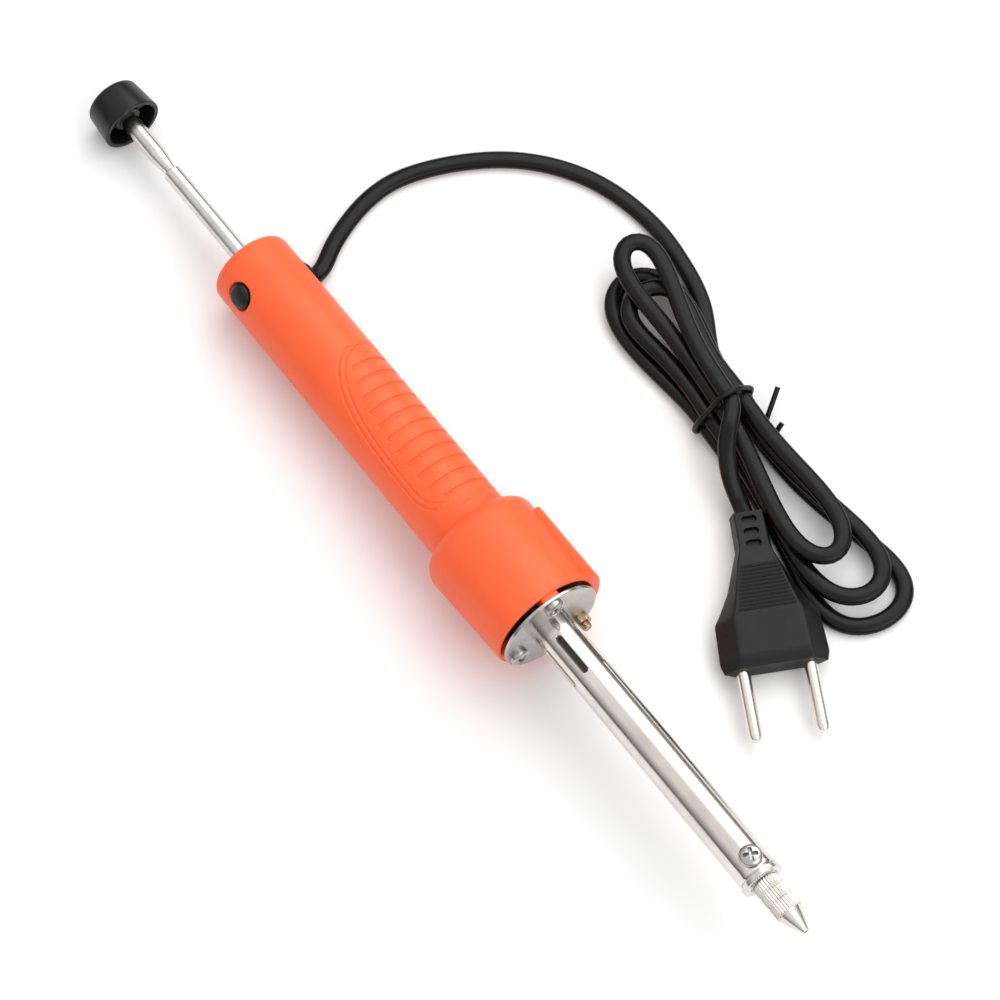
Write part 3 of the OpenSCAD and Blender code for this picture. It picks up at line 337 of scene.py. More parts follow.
cord_pvc = finish("cord_pvc", (0.0025, 0.0025, 0.0026), (0.005, 0.0048, 0.0048), (0.2, 0.34),
                  grain_scale=2200, mark_scale=120, bump=0.1, specular=0.2)
turns = np.vstack([half_turn(loop, *WAIST[k:k + 2]) for k, loop in enumerate(LOOPS)])
cord_line = smooth_line(np.vstack([LEAD, in_hank(turns), in_hank([[0, *WAIST[-1]]]), TAIL]), CORD_STEP)
from_tie = cord_line[:, :2] - HANK_AT
along = from_tie @ [np.cos(HANK_ANGLE), np.sin(HANK_ANGLE)]
lift = WAIST_LIFT * np.exp(-(along / LIFT_SPREAD) ** 2)
cord_line[:, 2] += np.where(np.abs(from_tie[:, 1]) < LIFT_WITHIN, lift, 0)
cord_line[:, 2] = np.maximum(cord_line[:, 2], CORD_T / 2 + FLOOR_GAP)
cord_surface = swept(cord_line, bulged(16, CORD_W, CORD_T, CORD_CORNER))
cord = piece("cord", surface_mesh("cord", [cord_surface], 60), cord_pvc, "handle",
             ["cord_lead", "cord_hank", "cord_tail"])

# Wire tie
# A plastic-covered wire bound round the hank's middle and twisted shut on the side away from the iron,
# with its long end standing up and its short end bent over. In the hank, the ring's points are
# (across, up) and the ends' are (along, across, up).
TIE_D, TIE_STEP = 1.6, 0.5
TIE_RING = [
    [0, 0.85], [6, 0.85], [8.6, 1.7], [9.3, 3.6], [9.0, 7.1], [9.2, 11.0], [7.6, 13.4], [4.6, 16.4],
    [1.6, 17.3], [-1.6, 16.4], [-4.3, 12.6], [-7.4, 8.8], [-9.2, 4.8], [-8.9, 2.2], [-6, 0.9]]
TIE_ENDS = [
    [[0.4, 9.3, 3.4], [3.4, 9.6, 2.6], [6.4, 9.2, 2.4], [7.6, 9.6, 3.0], [7.0, 10.9, 4.0],
     [5.2, 13.2, 5.4], [2.2, 17, 7.4]],
    [[-0.4, 9.2, 2.2], [5, 9.7, 1.6], [10.6, 9.0, 1.4], [12.0, 9.6, 2.0], [11.8, 11.4, 3.2],
     [11.2, 13.0, 4.2]]]


def wire_along(line, outline):
    """An outline carried along a line that may run upright: each ring takes over the sideways
    direction of the one before it, less what lies along the line."""
    ahead = headings(line)
    side = np.zeros_like(line)
    last = np.cross(ahead[0], [0.31, 0.2, 0.93])
    for k, way in enumerate(ahead):
        last = last - way * (last @ way)
        side[k] = last = last / np.linalg.norm(last)
    return carried(line, ahead, side, outline)


# The ring's spline runs round three times, and its middle third joins up smoothly
thrice = smooth_line([[0, *point] for point in TIE_RING * 3 + TIE_RING[:1]], TIE_STEP)
third = len(thrice) // 3
tie_lines = [thrice[third:2 * third + 2]] + [smooth_line(end, TIE_STEP) for end in TIE_ENDS]
tie_outline = bulged(12, TIE_D, TIE_D, 1.0)
tie_surfaces = [wire_along(in_hank(line), tie_outline) for line in tie_lines]
tie_plastic = finish("tie_plastic", (0.002, 0.002, 0.002), (0.005, 0.005, 0.005), (0.28, 0.42),
                     grain_scale=2600, mark_scale=200, bump=0.06, specular=0.25)
tie = piece("wire_tie", surface_mesh("wire_tie", tie_surfaces, 50), tie_plastic, "handle", "cord_tie")

# Plug
# A moulded two-pin mains plug of soft black PVC: a flexible neck with oblong slots, ridged finger
# grips on both faces, and a wide six-sided nose with a bevel above the pin face.
PLUG_AT, PLUG_ANGLE = (92.2, 45.4, 5.5), np.radians(-27.5)
PLUG_LEN, PLUG_W, PLUG_T = 46.0, 31.4, 11.0
# Each section: its share of the length from the pin face, its half width and half of its flat as
# shares of the plug's half width, and its half thickness as a share of the plug's
PLUG_SECTIONS = [
    [0.0, 0.93, 0.68, 0.57], [0.012, 0.945, 0.69, 0.62], [0.04, 1.0, 0.65, 1.0], [0.32, 0.96, 0.62, 1.0],
    [0.38, 0.84, 0.56, 0.97], [0.52, 0.61, 0.46, 0.89], [0.67, 0.45, 0.36, 0.82], [0.77, 0.34, 0.27, 0.76],
    [1.0, 0.325, 0.26, 0.72]]
PLUG_AROUND, PLUG_ROUNDING = 252, 8
GRIP_FIRST, GRIP_PITCH, GRIP_COUNT, GRIP_W, GRIP_DEPTH = 16.5, 1.17, 12, 0.34, 0.42
SLOT_PLACES, SLOT_HALF, SLOT_DEPTH = (36.3, 40.0, 43.7), 1.15, 1.2
# The neck's slots are painted near black, as the shade inside them
SLOT_PAINTED_SHADE = (0.0008, 0.0008, 0.0008)


def plugged(points):
    """Points given from the middle of the pin face, pins along +X, turned to where the plug lies."""
    return turned_flat(points, PLUG_ANGLE, PLUG_AT)


def step_up(value, low, high):
    """Zero below low, one above high, smooth between."""
    t = np.clip((value - low) / (high - low), 0, 1)
    return t * t * (3 - 2 * t)


def pressed(mesh, mask):
    """Stores a grid's mask on the mesh, with zero for its two end middles, as the attribute that marks where
    shade is painted.
    """
    kept = mesh.attributes.new("slot", "FLOAT", "POINT")
    kept.data.foreach_set("value", np.r_[mask.ravel(), 0, 0].astype(np.float32))


def paint_slot_shade(material, colour):
    """Paints shade: turns a finish dark, and a metal no longer metallic, where the painted-shade attribute is
    one.
    """
    tree = material.node_tree
    shader = tree.nodes["Principled BSDF"]
    read = tree.nodes.new("ShaderNodeAttribute")
    read.attribute_name = "slot"
    dark = tree.nodes.new("ShaderNodeMix")
    dark.data_type = "RGBA"
    dark.inputs["B"].default_value = (*colour, 1)
    tree.links.new(shader.inputs["Base Color"].links[0].from_socket, dark.inputs["A"])
    tree.links.new(read.outputs["Fac"], dark.inputs["Factor"])
    tree.links.new(dark.outputs["Result"], shader.inputs["Base Color"])
    metallic = shader.inputs["Metallic"].default_value
    if metallic:
        bare = tree.nodes.new("ShaderNodeMath")
        bare.operation = "MULTIPLY_ADD"
        bare.inputs[1].default_value = -metallic
        bare.inputs[2].default_value = metallic
        tree.links.new(read.outputs["Fac"], bare.inputs[0])
        tree.links.new(bare.outputs["Value"], shader.inputs["Metallic"])


def softened(values):
    """The running mean of nine values along the plug, with the end values repeated past the ends."""
    return np.convolve(np.pad(values, 4, mode="edge"), np.ones(9) / 9, "valid")


def six_sided(corners):
    """Values at the six corners of every section, filled in evenly along its six sides and rounded by
    repeated averaging with the neighbours on both sides."""
    corners = np.array([*corners, corners[0]])
    t = np.arange(PLUG_AROUND) * 6 / PLUG_AROUND
    k = t.astype(int)
    values = (corners[k] * (1 - t + k)[:, None] + corners[k + 1] * (t - k)[:, None]).T
    for _ in range(PLUG_ROUNDING):
        values = (np.roll(values, 1, 1) + 2 * values + np.roll(values, -1, 1)) / 4
    return values


def plug_surface():
    """Six-sided rounded sections along the body; grip grooves and neck slots press its flats in. The slots'
    mask also comes back, for the shade painted in them.
    """
    s = np.unique(np.r_[np.linspace(0, 0.1, 14), np.linspace(0.1, 1, 250)])
    share, half, flat, high = np.array(PLUG_SECTIONS).T
    half = softened(np.interp(s, share, half * PLUG_W / 2))
    flat = softened(np.interp(s, share, flat * PLUG_W / 2))
    high = softened(np.interp(s, share, high * PLUG_T / 2))
    y = six_sided([half, flat, -flat, -half, -flat, flat])
    z = six_sided([0 * high, high, high, 0 * high, -high, -high])
    x = -s[:, None] * PLUG_LEN + 0 * y
    upright = np.abs(z) / high[:, None]
    on_flat = np.clip((upright - 0.9) / 0.08, 0, 1) * np.clip((0.93 * flat[:, None] - np.abs(y)) / 0.5, 0, 1)
    grooves = GRIP_FIRST + GRIP_PITCH * np.arange(GRIP_COUNT)
    groove = np.exp(-((s[:, None] * PLUG_LEN - grooves) / GRIP_W) ** 2).sum(1)
    slots = np.zeros_like(y)
    for place in SLOT_PLACES:
        far = np.hypot(x + place, np.maximum(0, np.abs(y) - SLOT_HALF))
        slots = np.maximum(slots, 1 - step_up(far, 0.72, 0.98))
    slots = slots * (upright > 0.8)
    z = z - np.sign(z) * (GRIP_DEPTH * groove[:, None] * on_flat + SLOT_DEPTH * slots)
    return np.stack([x, y, z], -1), slots


plug_pvc = finish("plug_pvc", (0.004, 0.0038, 0.004), (0.008, 0.0075, 0.0078), (0.4, 0.58),
                  grain_scale=1300, mark_scale=90, bump=0.35, depth=0.00012, specular=0.3)
# Painted shade: the slots' mask turns the PVC near black inside the neck's slots
paint_slot_shade(plug_pvc, SLOT_PAINTED_SHADE)
plug_grid, plug_slots = plug_surface()
plug_mesh = surface_mesh("plug_body", [plugged(plug_grid)], 40)
pressed(plug_mesh, plug_slots)
plug = piece("plug_body", plug_mesh, plug_pvc, "handle", "plug_body")

# Plug pins
# Two solid round pins of nickel-plated brass, 4 mm thick and 19 mm apart, with rounded ends. Their
# thinner roots are held in the plug's moulding.
PIN_R, PIN_ROOT_R, PIN_APART = 2, 1.5, 19
# A profile starts and ends this near to its axis where its end is closed
AXIS = 0.001


def round_axis(x, r, a):
    """Points at places x along an axis and r away from it, in the directions a round it."""
    return np.stack(np.broadcast_arrays(x, r * np.cos(a), r * np.sin(a)), -1)


def turned(profile, sides, radii, steps=6):
    """A profile of (place along the axis, radius) points, its corners rounded by radii, turned round
    the axis: each corner gives an arc that touches both of its edges."""
    profile = np.array(profile, float)
    rounded = []
    for k, p in enumerate(profile):
        if radii[k] <= 0 or k in (0, len(profile) - 1):
            rounded.append(p)
            continue
        a, b = profile[k - 1] - p, profile[k + 1] - p
        la, lb = np.linalg.norm(a), np.linalg.norm(b)
        a, b = a / la, b / lb
        half = np.arccos(np.clip(a @ b, -1, 1)) / 2
        cut = min(radii[k] / np.tan(half), 0.49 * la, 0.49 * lb)
        r = cut * np.tan(half)
        centre = p + (a + b) / np.linalg.norm(a + b) * r / np.sin(half)
        start, end = p + a * cut - centre, p + b * cut - centre
        t = np.linspace(0, 1, steps)[:, None]
        arc = start * (1 - t) + end * t
        rounded.extend(centre + arc / np.linalg.norm(arc, axis=1)[:, None] * r)
    rounded = np.array(rounded)
    return round_axis(rounded[:, :1], rounded[:, 1:], np.arange(sides) * 2 * np.pi / sides)


nickel = finish("polished_nickel", (0.80, 0.755, 0.70), (0.70, 0.65, 0.59), (0.12, 0.26),
                grain_scale=700, mark_scale=45, bump=0.03, metallic=1.0)
pin_profile = [
    [-8, AXIS], [-8, PIN_ROOT_R], [0.0, PIN_ROOT_R], [0.0, PIN_R], [19.2, PIN_R], [20.6, 1.5], [21, AXIS]]
pin = turned(pin_profile, 40, [0, 0, 0, 0, 0.8, 0.6, 0])
pin_surfaces = [plugged(pin + [0, side * PIN_APART / 2, 0]) for side in (-1, 1)]
pins = piece("plug_pins", surface_mesh("plug_pins", pin_surfaces, 35), nickel, "handle", "plug_pins")

# Handle
# One moulding of orange heat-resistant plastic: the plain grip, the head with its raised finger guard
# and three posts in its hollow. Its upper side has a ribbed panel inside an oval double line.
# How the iron lies: its own axis starts at SHIFT, on the plate's rear face, and is raised by LAY
SHIFT, LAY = np.array([49.0833, -1.45, 22.0775]), np.radians(3.67871)
# Directions round the axis, in degrees from +Y toward +Z
DOWN, PANEL_WAY, BUTTON_WAY = -35, 55, 145
REAR, SHOULDER, RIM = -143.2, -35.2, -1.2
GRIP_R, GRIP_FLARE, REAR_ROUND = 12.25, 0.35, 2.5
NECK_R, HEAD_R, HEAD_TAPER, SHOULDER_ROUND = 12.6, 17.5, 0.9, 4.6
GUARD_REAR, GUARD_FRONT, GUARD_R, GUARD_SLOPE = -27.7, -1.8, 18.9, 4.0
GUARD_HALF, GUARD_EDGE = 60.9, 0.7
PANEL_X, PANEL_LEN, PANEL_WIDEST, PANEL_REACH, PANEL_BLUNT = REAR + 44.5, 59.5, 0.78, 83.0, 2.6
GROOVE_PITCH = 4.8
GROOVES_X = PANEL_X + 7 + GROOVE_PITCH * np.arange(11)
BUTTON_X, GROMMET_X = -132.4, -132.7
BUTTON_HOLE_R, GROMMET_HOLE_R = 3.85, 4.4
POST_W, POST_H, POST_AWAY, POST_LEN = 5.8, 6.2, 12.6, 19.2
FIXINGS = (85, 197, 323)


def laid(points):
    """Points given along the tool's own axis, from the plate's rear face, turned to how the iron lies."""
    c, s = np.cos(LAY), np.sin(LAY)
    x, y, z = points[..., 0], points[..., 1], points[..., 2]
    return np.stack([x * c - z * s, y, x * s + z * c], -1) + SHIFT


def rolled(points, degrees):
    """Points turned round the tool's axis, +Y first toward +Z."""
    a = np.radians(degrees)
    x, y, z = points[..., 0], points[..., 1], points[..., 2]
    return np.stack([x, y * np.cos(a) - z * np.sin(a), y * np.sin(a) + z * np.cos(a)], -1)


def apart(direction, other):
    """Degrees between two directions, 180 at most."""
    return np.abs((direction - other + 180) % 360 - 180)


def panel_half(share):
    """Half of the panel's angle along its length, a blunt oval that is widest at 0.78 of it."""
    run = np.where(share < PANEL_WIDEST, PANEL_WIDEST, 1 - PANEL_WIDEST)
    past = (np.abs(share - PANEL_WIDEST) / run) ** PANEL_BLUNT
    return PANEL_REACH * np.maximum(0, 1 - past) ** (1 / PANEL_BLUNT)


def handle_places():
    """Places along the handle, close together where a rounding, hole, groove or step needs them."""
    quarter = np.linspace(0, np.pi / 2, 9)
    x = np.r_[
        REAR + REAR_ROUND * (1 - np.cos(quarter)),
        np.arange(REAR + 2.7, BUTTON_X - 5, 0.8),
        np.arange(BUTTON_X - 5, BUTTON_X + 5, 0.28),
        np.arange(BUTTON_X + 5, PANEL_X, 1.2),
        np.arange(PANEL_X, PANEL_X + PANEL_LEN, 0.8),
        (GROOVES_X[:, None] + np.linspace(-1.0, 1.0, 15)).ravel(),
        PANEL_X + np.arange(0, 6, 0.3),
        np.arange(-39, -36, 0.6),
        SHOULDER + np.r_[-0.6, -0.2, 0],
        SHOULDER + SHOULDER_ROUND * (1 - np.cos(np.linspace(0.02, np.pi / 2, 10))),
        np.arange(-30, -28.2, 0.5), np.arange(-28.1, -26.2, 0.13), np.arange(-26, -2.4, 1.1),
        [-2.2, GUARD_FRONT, -1.6, -1.4, -1.28, RIM]]
    return np.unique(np.round(x, 4))


def handle_ways():
    """Directions round the handle, closer over the panel, at the guard's edges and at the button."""
    guard_edge = GUARD_HALF + np.array([-2.9, 3.1])
    d = np.r_[
        np.arange(0, 360, 4.0),
        np.arange(PANEL_WAY - 86, PANEL_WAY + 86, 1.5),
        np.arange(*(DOWN - guard_edge[::-1]), 0.35),
        np.arange(*(DOWN + guard_edge), 0.35),
        np.arange(BUTTON_WAY - 21, BUTTON_WAY + 21, 1.2)] % 360
    d = np.unique(np.round(d, 3))
    return d[np.r_[True, np.diff(d) > 0.2]]


def plain_radius(x, d):
    """Radius of the grip and the head: the grip flares a little and is rounded at its rear, the head
    swells from it in a quarter ellipse and tapers, and the guard stands out over its own sector."""
    at = np.clip(x - REAR, 0, REAR_ROUND)
    grip = GRIP_R + GRIP_FLARE * (x - REAR) / 108
    grip = grip - REAR_ROUND + np.sqrt(np.maximum(0, REAR_ROUND ** 2 - (REAR_ROUND - at) ** 2))
    on = np.clip((x - SHOULDER) / SHOULDER_ROUND, 0, 1)
    swell = NECK_R + (HEAD_R - NECK_R) * np.sqrt(np.maximum(0, 1 - (1 - on) ** 2))
    head = np.where(x < -30.6, swell, HEAD_R - HEAD_TAPER * (x + 30.6) / 29.4)
    r = np.where(x < SHOULDER, grip, head)
    guard = np.minimum(HEAD_R + GUARD_SLOPE * (x - GUARD_REAR), GUARD_R - np.maximum(0, x - GUARD_FRONT))
    edge = 1 - step_up(apart(d, DOWN), GUARD_HALF - GUARD_EDGE, GUARD_HALF + GUARD_EDGE)
    r = r + np.maximum(0, guard - r) * edge * (x > GUARD_REAR - 0.05)
    return r - 0.35 * step_up(x, -1.5, RIM)


def panel_depth(x, d, r):
    """Depth of the panel's double line and of its grooves. The line follows the oval at its true
    distance, which is the distance round the grip less what the oval's own slope adds to it."""
    share = np.clip((x - PANEL_X) / PANEL_LEN, 0, 1)
    half = panel_half(share)
    off = apart(d, PANEL_WAY)
    rise = panel_half(np.clip(share + 0.004, 0, 1)) - panel_half(np.clip(share - 0.004, 0, 1))
    slope = np.radians(np.abs(rise) / (0.008 * PANEL_LEN)) * r
    across = np.radians(off - half) * r / np.sqrt(1 + slope ** 2)
    line = 0.34 * np.exp(-(across / 0.32) ** 2) + 0.3 * np.exp(-((across + 1.9) / 0.3) ** 2)
    depth = line * ((share > 0) & (share < 1))
    for place in GROOVES_X:
        width = panel_half((place - PANEL_X) / PANEL_LEN) - np.degrees(GROOVE_PITCH / 12.5)
        reach = 1 - step_up(off, width - 2.2, width)
        depth = np.maximum(depth, 0.5 * (1 - step_up(np.abs(x - place), 0.36, 0.72)) * reach)
    return np.where(x < SHOULDER, depth, 0)


def handle_surface():
    """Radius over place and direction: the plain outline, less the panel's grooves and the two holes.
    The rod's hole in the rear face comes before it, and the hollow behind the rim after it."""
    x, d = np.meshgrid(handle_places(), handle_ways(), indexing="ij")
    r = plain_radius(x, d)
    r = r - panel_depth(x, d, r)
    for place, direction, size, depth in (
            (BUTTON_X, BUTTON_WAY, BUTTON_HOLE_R, 2.6), (GROMMET_X, DOWN, GROMMET_HOLE_R, 1.5)):
        far = np.hypot(x - place, np.radians(apart(d, direction)) * 12.3)
        r = r - depth * (1 - step_up(far, size, size + 0.45))
    a = np.radians(d)
    rear = [(REAR + 3.2, 3.15), (REAR + 0.25, 3.15), (REAR, 3.4), (REAR, 6.5)]
    front = [(RIM, 15.75), (RIM - 0.3, 15.5), (RIM - 2.2, 14.7), (-27, 14.6), (-28.2, 14.4), (-28.2, 10.5),
             (-60, 10.5)]
    rear, front = ([round_axis(*ring, a[0]) for ring in rings] for rings in (rear, front))
    return np.vstack([rear, round_axis(x, r, a), front])


def post_block(direction):
    """A post of the head: a rounded block from the hollow's floor to the plate, squared off outward."""
    x = np.r_[-POST_LEN, np.linspace(-19, -0.3, 12), -0.08, 0]
    inset = np.r_[0.3, np.zeros(12), 0.06, 0.25]
    ring = bulged(32, POST_W, POST_H, 0.45) * (1 - inset[:, None, None] / 3.0) + [0, POST_AWAY]
    block = np.stack(np.broadcast_arrays(x[:, None], ring[..., 0], ring[..., 1]), -1)
    return rolled(block, direction - 90)


orange = finish("orange_plastic", (1.0, 0.135, 0.038), (0.97, 0.12, 0.03), (0.36, 0.5),
                grain_scale=1700, mark_scale=34, bump=0.16, depth=0.00012, specular=0.36)
handle_surfaces = [laid(handle_surface())] + [laid(post_block(way)) for way in FIXINGS]
piece("handle", surface_mesh("handle", handle_surfaces, 38), orange, "handle", "handle_body")

# Release button
# A round domed button of glossy black plastic that stands a little out of the grip beside the cap.
# A collar inside the grip keeps it in.
gloss_black = finish("glossy_black_plastic", (0.003, 0.003, 0.0032), (0.006, 0.006, 0.006), (0.24, 0.4),
                     grain_scale=1800, mark_scale=70, bump=0.06, specular=0.35)


def outward(points, place, direction):
    """Points turned round +X of their own profile, stood up outward at a place and a direction."""
    h, p, q = points[..., 0], points[..., 1], points[..., 2]
    return rolled(np.stack([place + p, h, q], -1), direction)


button_profile = [
    [7.3, AXIS], [7.3, 5], [8.4, 5], [8.4, 3.6], [12.25, 3.6], [12.95, 2.7], [13.18, AXIS]]
button = outward(turned(button_profile, 56, [0, 0.1, 0.1, 0, 0.5, 1.4, 0], 9), BUTTON_X, BUTTON_WAY)
piece("release_button", surface_mesh("release_button", [laid(button)], 30), gloss_black, "latch",
      "release_button")

# Cord grommet
# A black rubber grommet pushed into the grip's underside, a thick rounded collar round the cord.
# Its groove holds it in the grip's wall.
rubber = finish("grommet_rubber", (0.004, 0.004, 0.004), (0.008, 0.008, 0.008), (0.45, 0.62),
                mark_scale=80, bump=0.2, specular=0.3)
grommet_profile = [
    [8, AXIS], [8, 4.8], [9.1, 4.8], [9.1, 4.0], [11.4, 4.0], [11.6, 5.5], [14.28, 5.5], [14.28, 3.4],
    [13.7, 3.1], [13.7, AXIS]]
grommet = outward(turned(grommet_profile, 56, [0, 0.2, 0.2, 0, 0, 0.3, 1.1, 0.4, 0.3, 0], 8), GROMMET_X, DOWN)
piece("cord_grommet", surface_mesh("cord_grommet", [laid(grommet)], 35), rubber, "handle", "cord_grommet")

# Plunger rod
# A polished steel rod that runs out of the grip into the cap. It has a tapered neck for the latch and
# a thinner front end for the piston.
ROD_R, ROD_NECK_R, ROD_SEAT_R = 2.75, 2.0, 2.0
rod_steel = finish("polished_rod_steel", (0.74, 0.72, 0.70), (0.6, 0.58, 0.57), (0.14, 0.3),
                   grain_scale=600, mark_scale=70, metallic=1.0)
rod_profile = [
    [-210.6, AXIS], [-210.6, ROD_R], [-188.3, ROD_R], [-182.8, ROD_NECK_R], [-181, ROD_NECK_R],
    [-181, 2.45], [-180.7, ROD_R], [-123.2, ROD_R], [-123.2, ROD_SEAT_R], [-111, ROD_SEAT_R], [-111, AXIS]]
rod = turned(rod_profile, 48, [0, 0, 0.4, 0.5, 0, 0, 0, 0, 0, 0.2, 0])
piece("plunger_rod", surface_mesh("plunger_rod", [laid(rod)], 30), rod_steel, "plunger", "plunger_rod")

# Push cap
# A black plastic cup pressed on the rod's end, open toward the grip, with a boss round the rod and
# four thin ribs inside.
CAP_END, CAP_RIM, CAP_FLOOR, BOSS_END = -212, -201, -210.4, -203.2
cap_profile = [
    [-209.2, AXIS], [CAP_END, AXIS], [CAP_END, 8.2], [CAP_RIM, 9.2], [CAP_RIM, 7.8], [CAP_FLOOR, 6.8],
    [CAP_FLOOR, 4.2], [BOSS_END, 4.2], [BOSS_END, 2.8], [-209.2, 2.8]]
cap = turned(cap_profile, 96, [0, 0, 1.5, 0.35, 0.35, 0.5, 0.3, 0.3, 0.1, 0], 8)


def cap_rib(direction):
    """A thin upright rib between the boss and the cap's wall, chamfered at its free end."""
    x = np.array([-210.6, -204.2, -204.0])
    ring = np.array([[3.9, -0.6], [7.0, -0.6], [7.0, 0.6], [3.9, 0.6]]) * np.ones((3, 1, 1))
    ring[2] = ring[2] * [1, 0.7]
    return rolled(np.stack(np.broadcast_arrays(x[:, None], ring[..., 0], ring[..., 1]), -1), direction)


cap_surfaces = [laid(cap)] + [laid(cap_rib(BUTTON_WAY + 45 + 90 * i)) for i in range(4)]
piece("push_cap", surface_mesh("push_cap", cap_surfaces, 34), gloss_black, "plunger", "plunger_cap")

# Flange plate
# A nickel-plated steel disc screwed on the head's three posts. The barrel is fixed in its middle hole.
PLATE_R, PLATE_HOLE_R, PLATE_T = 15.5, 6.05, 1.0
# Its nickel is set darker than the pins' as a painted dark reflection of what surrounds it
plate_nickel_dark_reflection = finish("plate_nickel_dark_reflection", (0.52, 0.505, 0.49), (0.42, 0.405, 0.39), (0.2, 0.36),
                      grain_scale=600, mark_scale=45, metallic=1.0)
plate_profile = [[0.02, PLATE_HOLE_R], [0.02, PLATE_R], [PLATE_T, PLATE_R], [PLATE_T, PLATE_HOLE_R]]
plate = turned(plate_profile, 128, [0, 0.15, 0.25, 0])
piece("flange_plate", surface_mesh("flange_plate", [laid(plate)], 30), plate_nickel_dark_reflection, "handle", "flange_plate")

# Barrel
# A thin nickel-plated tube with six round-ended vent slots behind the plate, which keep the heat from
# the handle. Heat has dulled it a little in patches.
BARREL_R, BARREL_END = 6.0, 93.5
VENT_COUNT, VENT_WAY, VENT_FROM, VENT_TO, VENT_DEPTH = 6, 109, 7.45, 18.85, 1.5
# The vent slots' insides are painted near black, as the shade within the tube
VENT_PAINTED_SHADE = (0.012, 0.010, 0.009)


def barrel_surface():
    """The tube's radius over place and direction, pressed deep in over the vent slots, past the wall.
    The slots' mask also comes back, for the shade painted inside them."""
    places = np.r_[
        -7, -6.8, np.arange(-6, 5, 1.5), np.arange(5.6, 21, 0.22), np.arange(21, 93, 1.6),
        93.1, 93.35, BARREL_END]
    x, d = np.meshgrid(np.unique(np.round(places, 3)), np.arange(0, 360, 0.9), indexing="ij")
    slot = np.zeros_like(x)
    for i in range(VENT_COUNT):
        aside = np.radians(apart(d, VENT_WAY + 360 / VENT_COUNT * i)) * BARREL_R
        far = np.hypot(x - np.clip(x, VENT_FROM, VENT_TO), aside)
        slot = np.maximum(slot, 1 - step_up(far, 0.83, 1.02))
    r = BARREL_R - VENT_DEPTH * slot - 0.2 * step_up(x, 93.2, BARREL_END)
    return round_axis(x, r, np.radians(d)), slot


barrel_nickel = finish("barrel_nickel", (0.76, 0.715, 0.67), (0.62, 0.57, 0.52), (0.1, 0.24),
                       grain_scale=500, mark_scale=38, metallic=1.0)
# Painted shade: near black inside the vent slots
paint_slot_shade(barrel_nickel, VENT_PAINTED_SHADE)
barrel_grid, barrel_slots = barrel_surface()
barrel_mesh = surface_mesh("barrel", [laid(barrel_grid)], 30)
pressed(barrel_mesh, barrel_slots)
piece("barrel", barrel_mesh, barrel_nickel, "handle", "barrel")

# Collar and nozzle
# The steel collar of the tip holder in the barrel's end, and the plated copper nozzle in front of it:
# a finely fluted body and a smooth cone with the suction hole.
FLUTE_COUNT, FLUTE_DEPTH, RING_PLACES, RING_DEPTH = 28, 0.34, (99.2, 102.9), 0.26
collar_profile = [
    [76.5, AXIS], [76.5, 5.45], [94.0, 5.45], [94.0, 6.4], [95.8, 6.4], [95.8, 4.5], [95.2, 4.2],
    [95.2, AXIS]]
collar = turned(collar_profile, 96, [0, 0, 0, 0.35, 0.4, 0.1, 0, 0])
piece("tip_holder", surface_mesh("tip_holder", [laid(collar)], 30), rod_steel, "handle", "tip_holder")


def nozzle_surface():
    """Radius over place and direction: flutes and two rings on the body, which run out at both ends,
    then the cone and the bore of the suction hole."""
    body = [[96.6 + 0.25 * i, 4.0] for i in range(41)]
    outline = [
        [84.8, AXIS], [84.8, 3.0], [95.7, 3.0], [95.9, 3.8], [96.4, 4.0], *body, [106.9, 4.0],
        [107.4, 3.78], [111, 2.3], [114, 1.1], [114, 0.6], [110, 0.6], [109.9, AXIS]]
    radii = [0, 0, 0, 0, 0.1] + [0] * len(body) + [0.1, 0.2, 0, 0.15, 0.08, 0, 0]
    x, y, z = np.moveaxis(turned(outline, 192, radii), -1, 0)
    r, a = np.hypot(y, z), np.arctan2(z, y)
    on = step_up(x, 96.0, 96.6) * (1 - step_up(x, 106.7, 107.3)) * (r > 3.2)
    rings = sum(np.exp(-((x - place) / 0.35) ** 2) for place in RING_PLACES)
    flutes = (0.5 - 0.5 * np.cos(FLUTE_COUNT * a)) ** 1.3
    return round_axis(x, r - on * (FLUTE_DEPTH * flutes + RING_DEPTH * rings), a)


piece("nozzle", surface_mesh("nozzle", [laid(nozzle_surface())], 40), nickel, "handle", "nozzle")

# Screws
# Two zinc-plated pan-head screws with cross recesses hold the plate, and a larger one clamps the
# nozzle through the barrel's front end.
FIXING_R, CLAMP_X, CLAMP_WAY = 12, 89.9, 90
zinc = finish("zinc_plating", (0.5, 0.495, 0.48), (0.38, 0.37, 0.355), (0.18, 0.34),
              grain_scale=900, mark_scale=260, bump=0.08, metallic=1.0)


def screw_surface(head_r, head_h, shank_r, length):
    """Height over distance and direction: a domed head with a cross pressed in, then the shank."""
    a = np.arange(96) * 2 * np.pi / 96
    distance, way = np.meshgrid(np.r_[AXIS, np.linspace(0.08, 1, 26) * head_r], a, indexing="ij")
    top = head_h * (0.45 + 0.55 * np.sqrt(np.maximum(0, 1 - (distance / head_r) ** 2.4)))
    u, v = distance * np.cos(way), distance * np.sin(way)
    arm = np.minimum(np.abs(u * 0.9 + v * 0.436), np.abs(v * 0.9 - u * 0.436))
    cross = 1 - step_up(arm, 0.09 * head_r, 0.17 * head_r)
    middle = 1 - step_up(distance, 0.5 * head_r, 0.64 * head_r)
    head = round_axis(top - 0.62 * head_h * cross * middle, distance, way)
    rest = [round_axis(*ring, a) for ring in ((0, head_r), (0, shank_r), (-length, shank_r))]
    return np.vstack([head, rest])


def stood(points, place, direction):
    """Points with their height first, stood on the plate along the axis on the fixings' circle."""
    h, p, q = points[..., 0], points[..., 1], points[..., 2]
    return rolled(np.stack([place + h, FIXING_R + p, q], -1), direction)


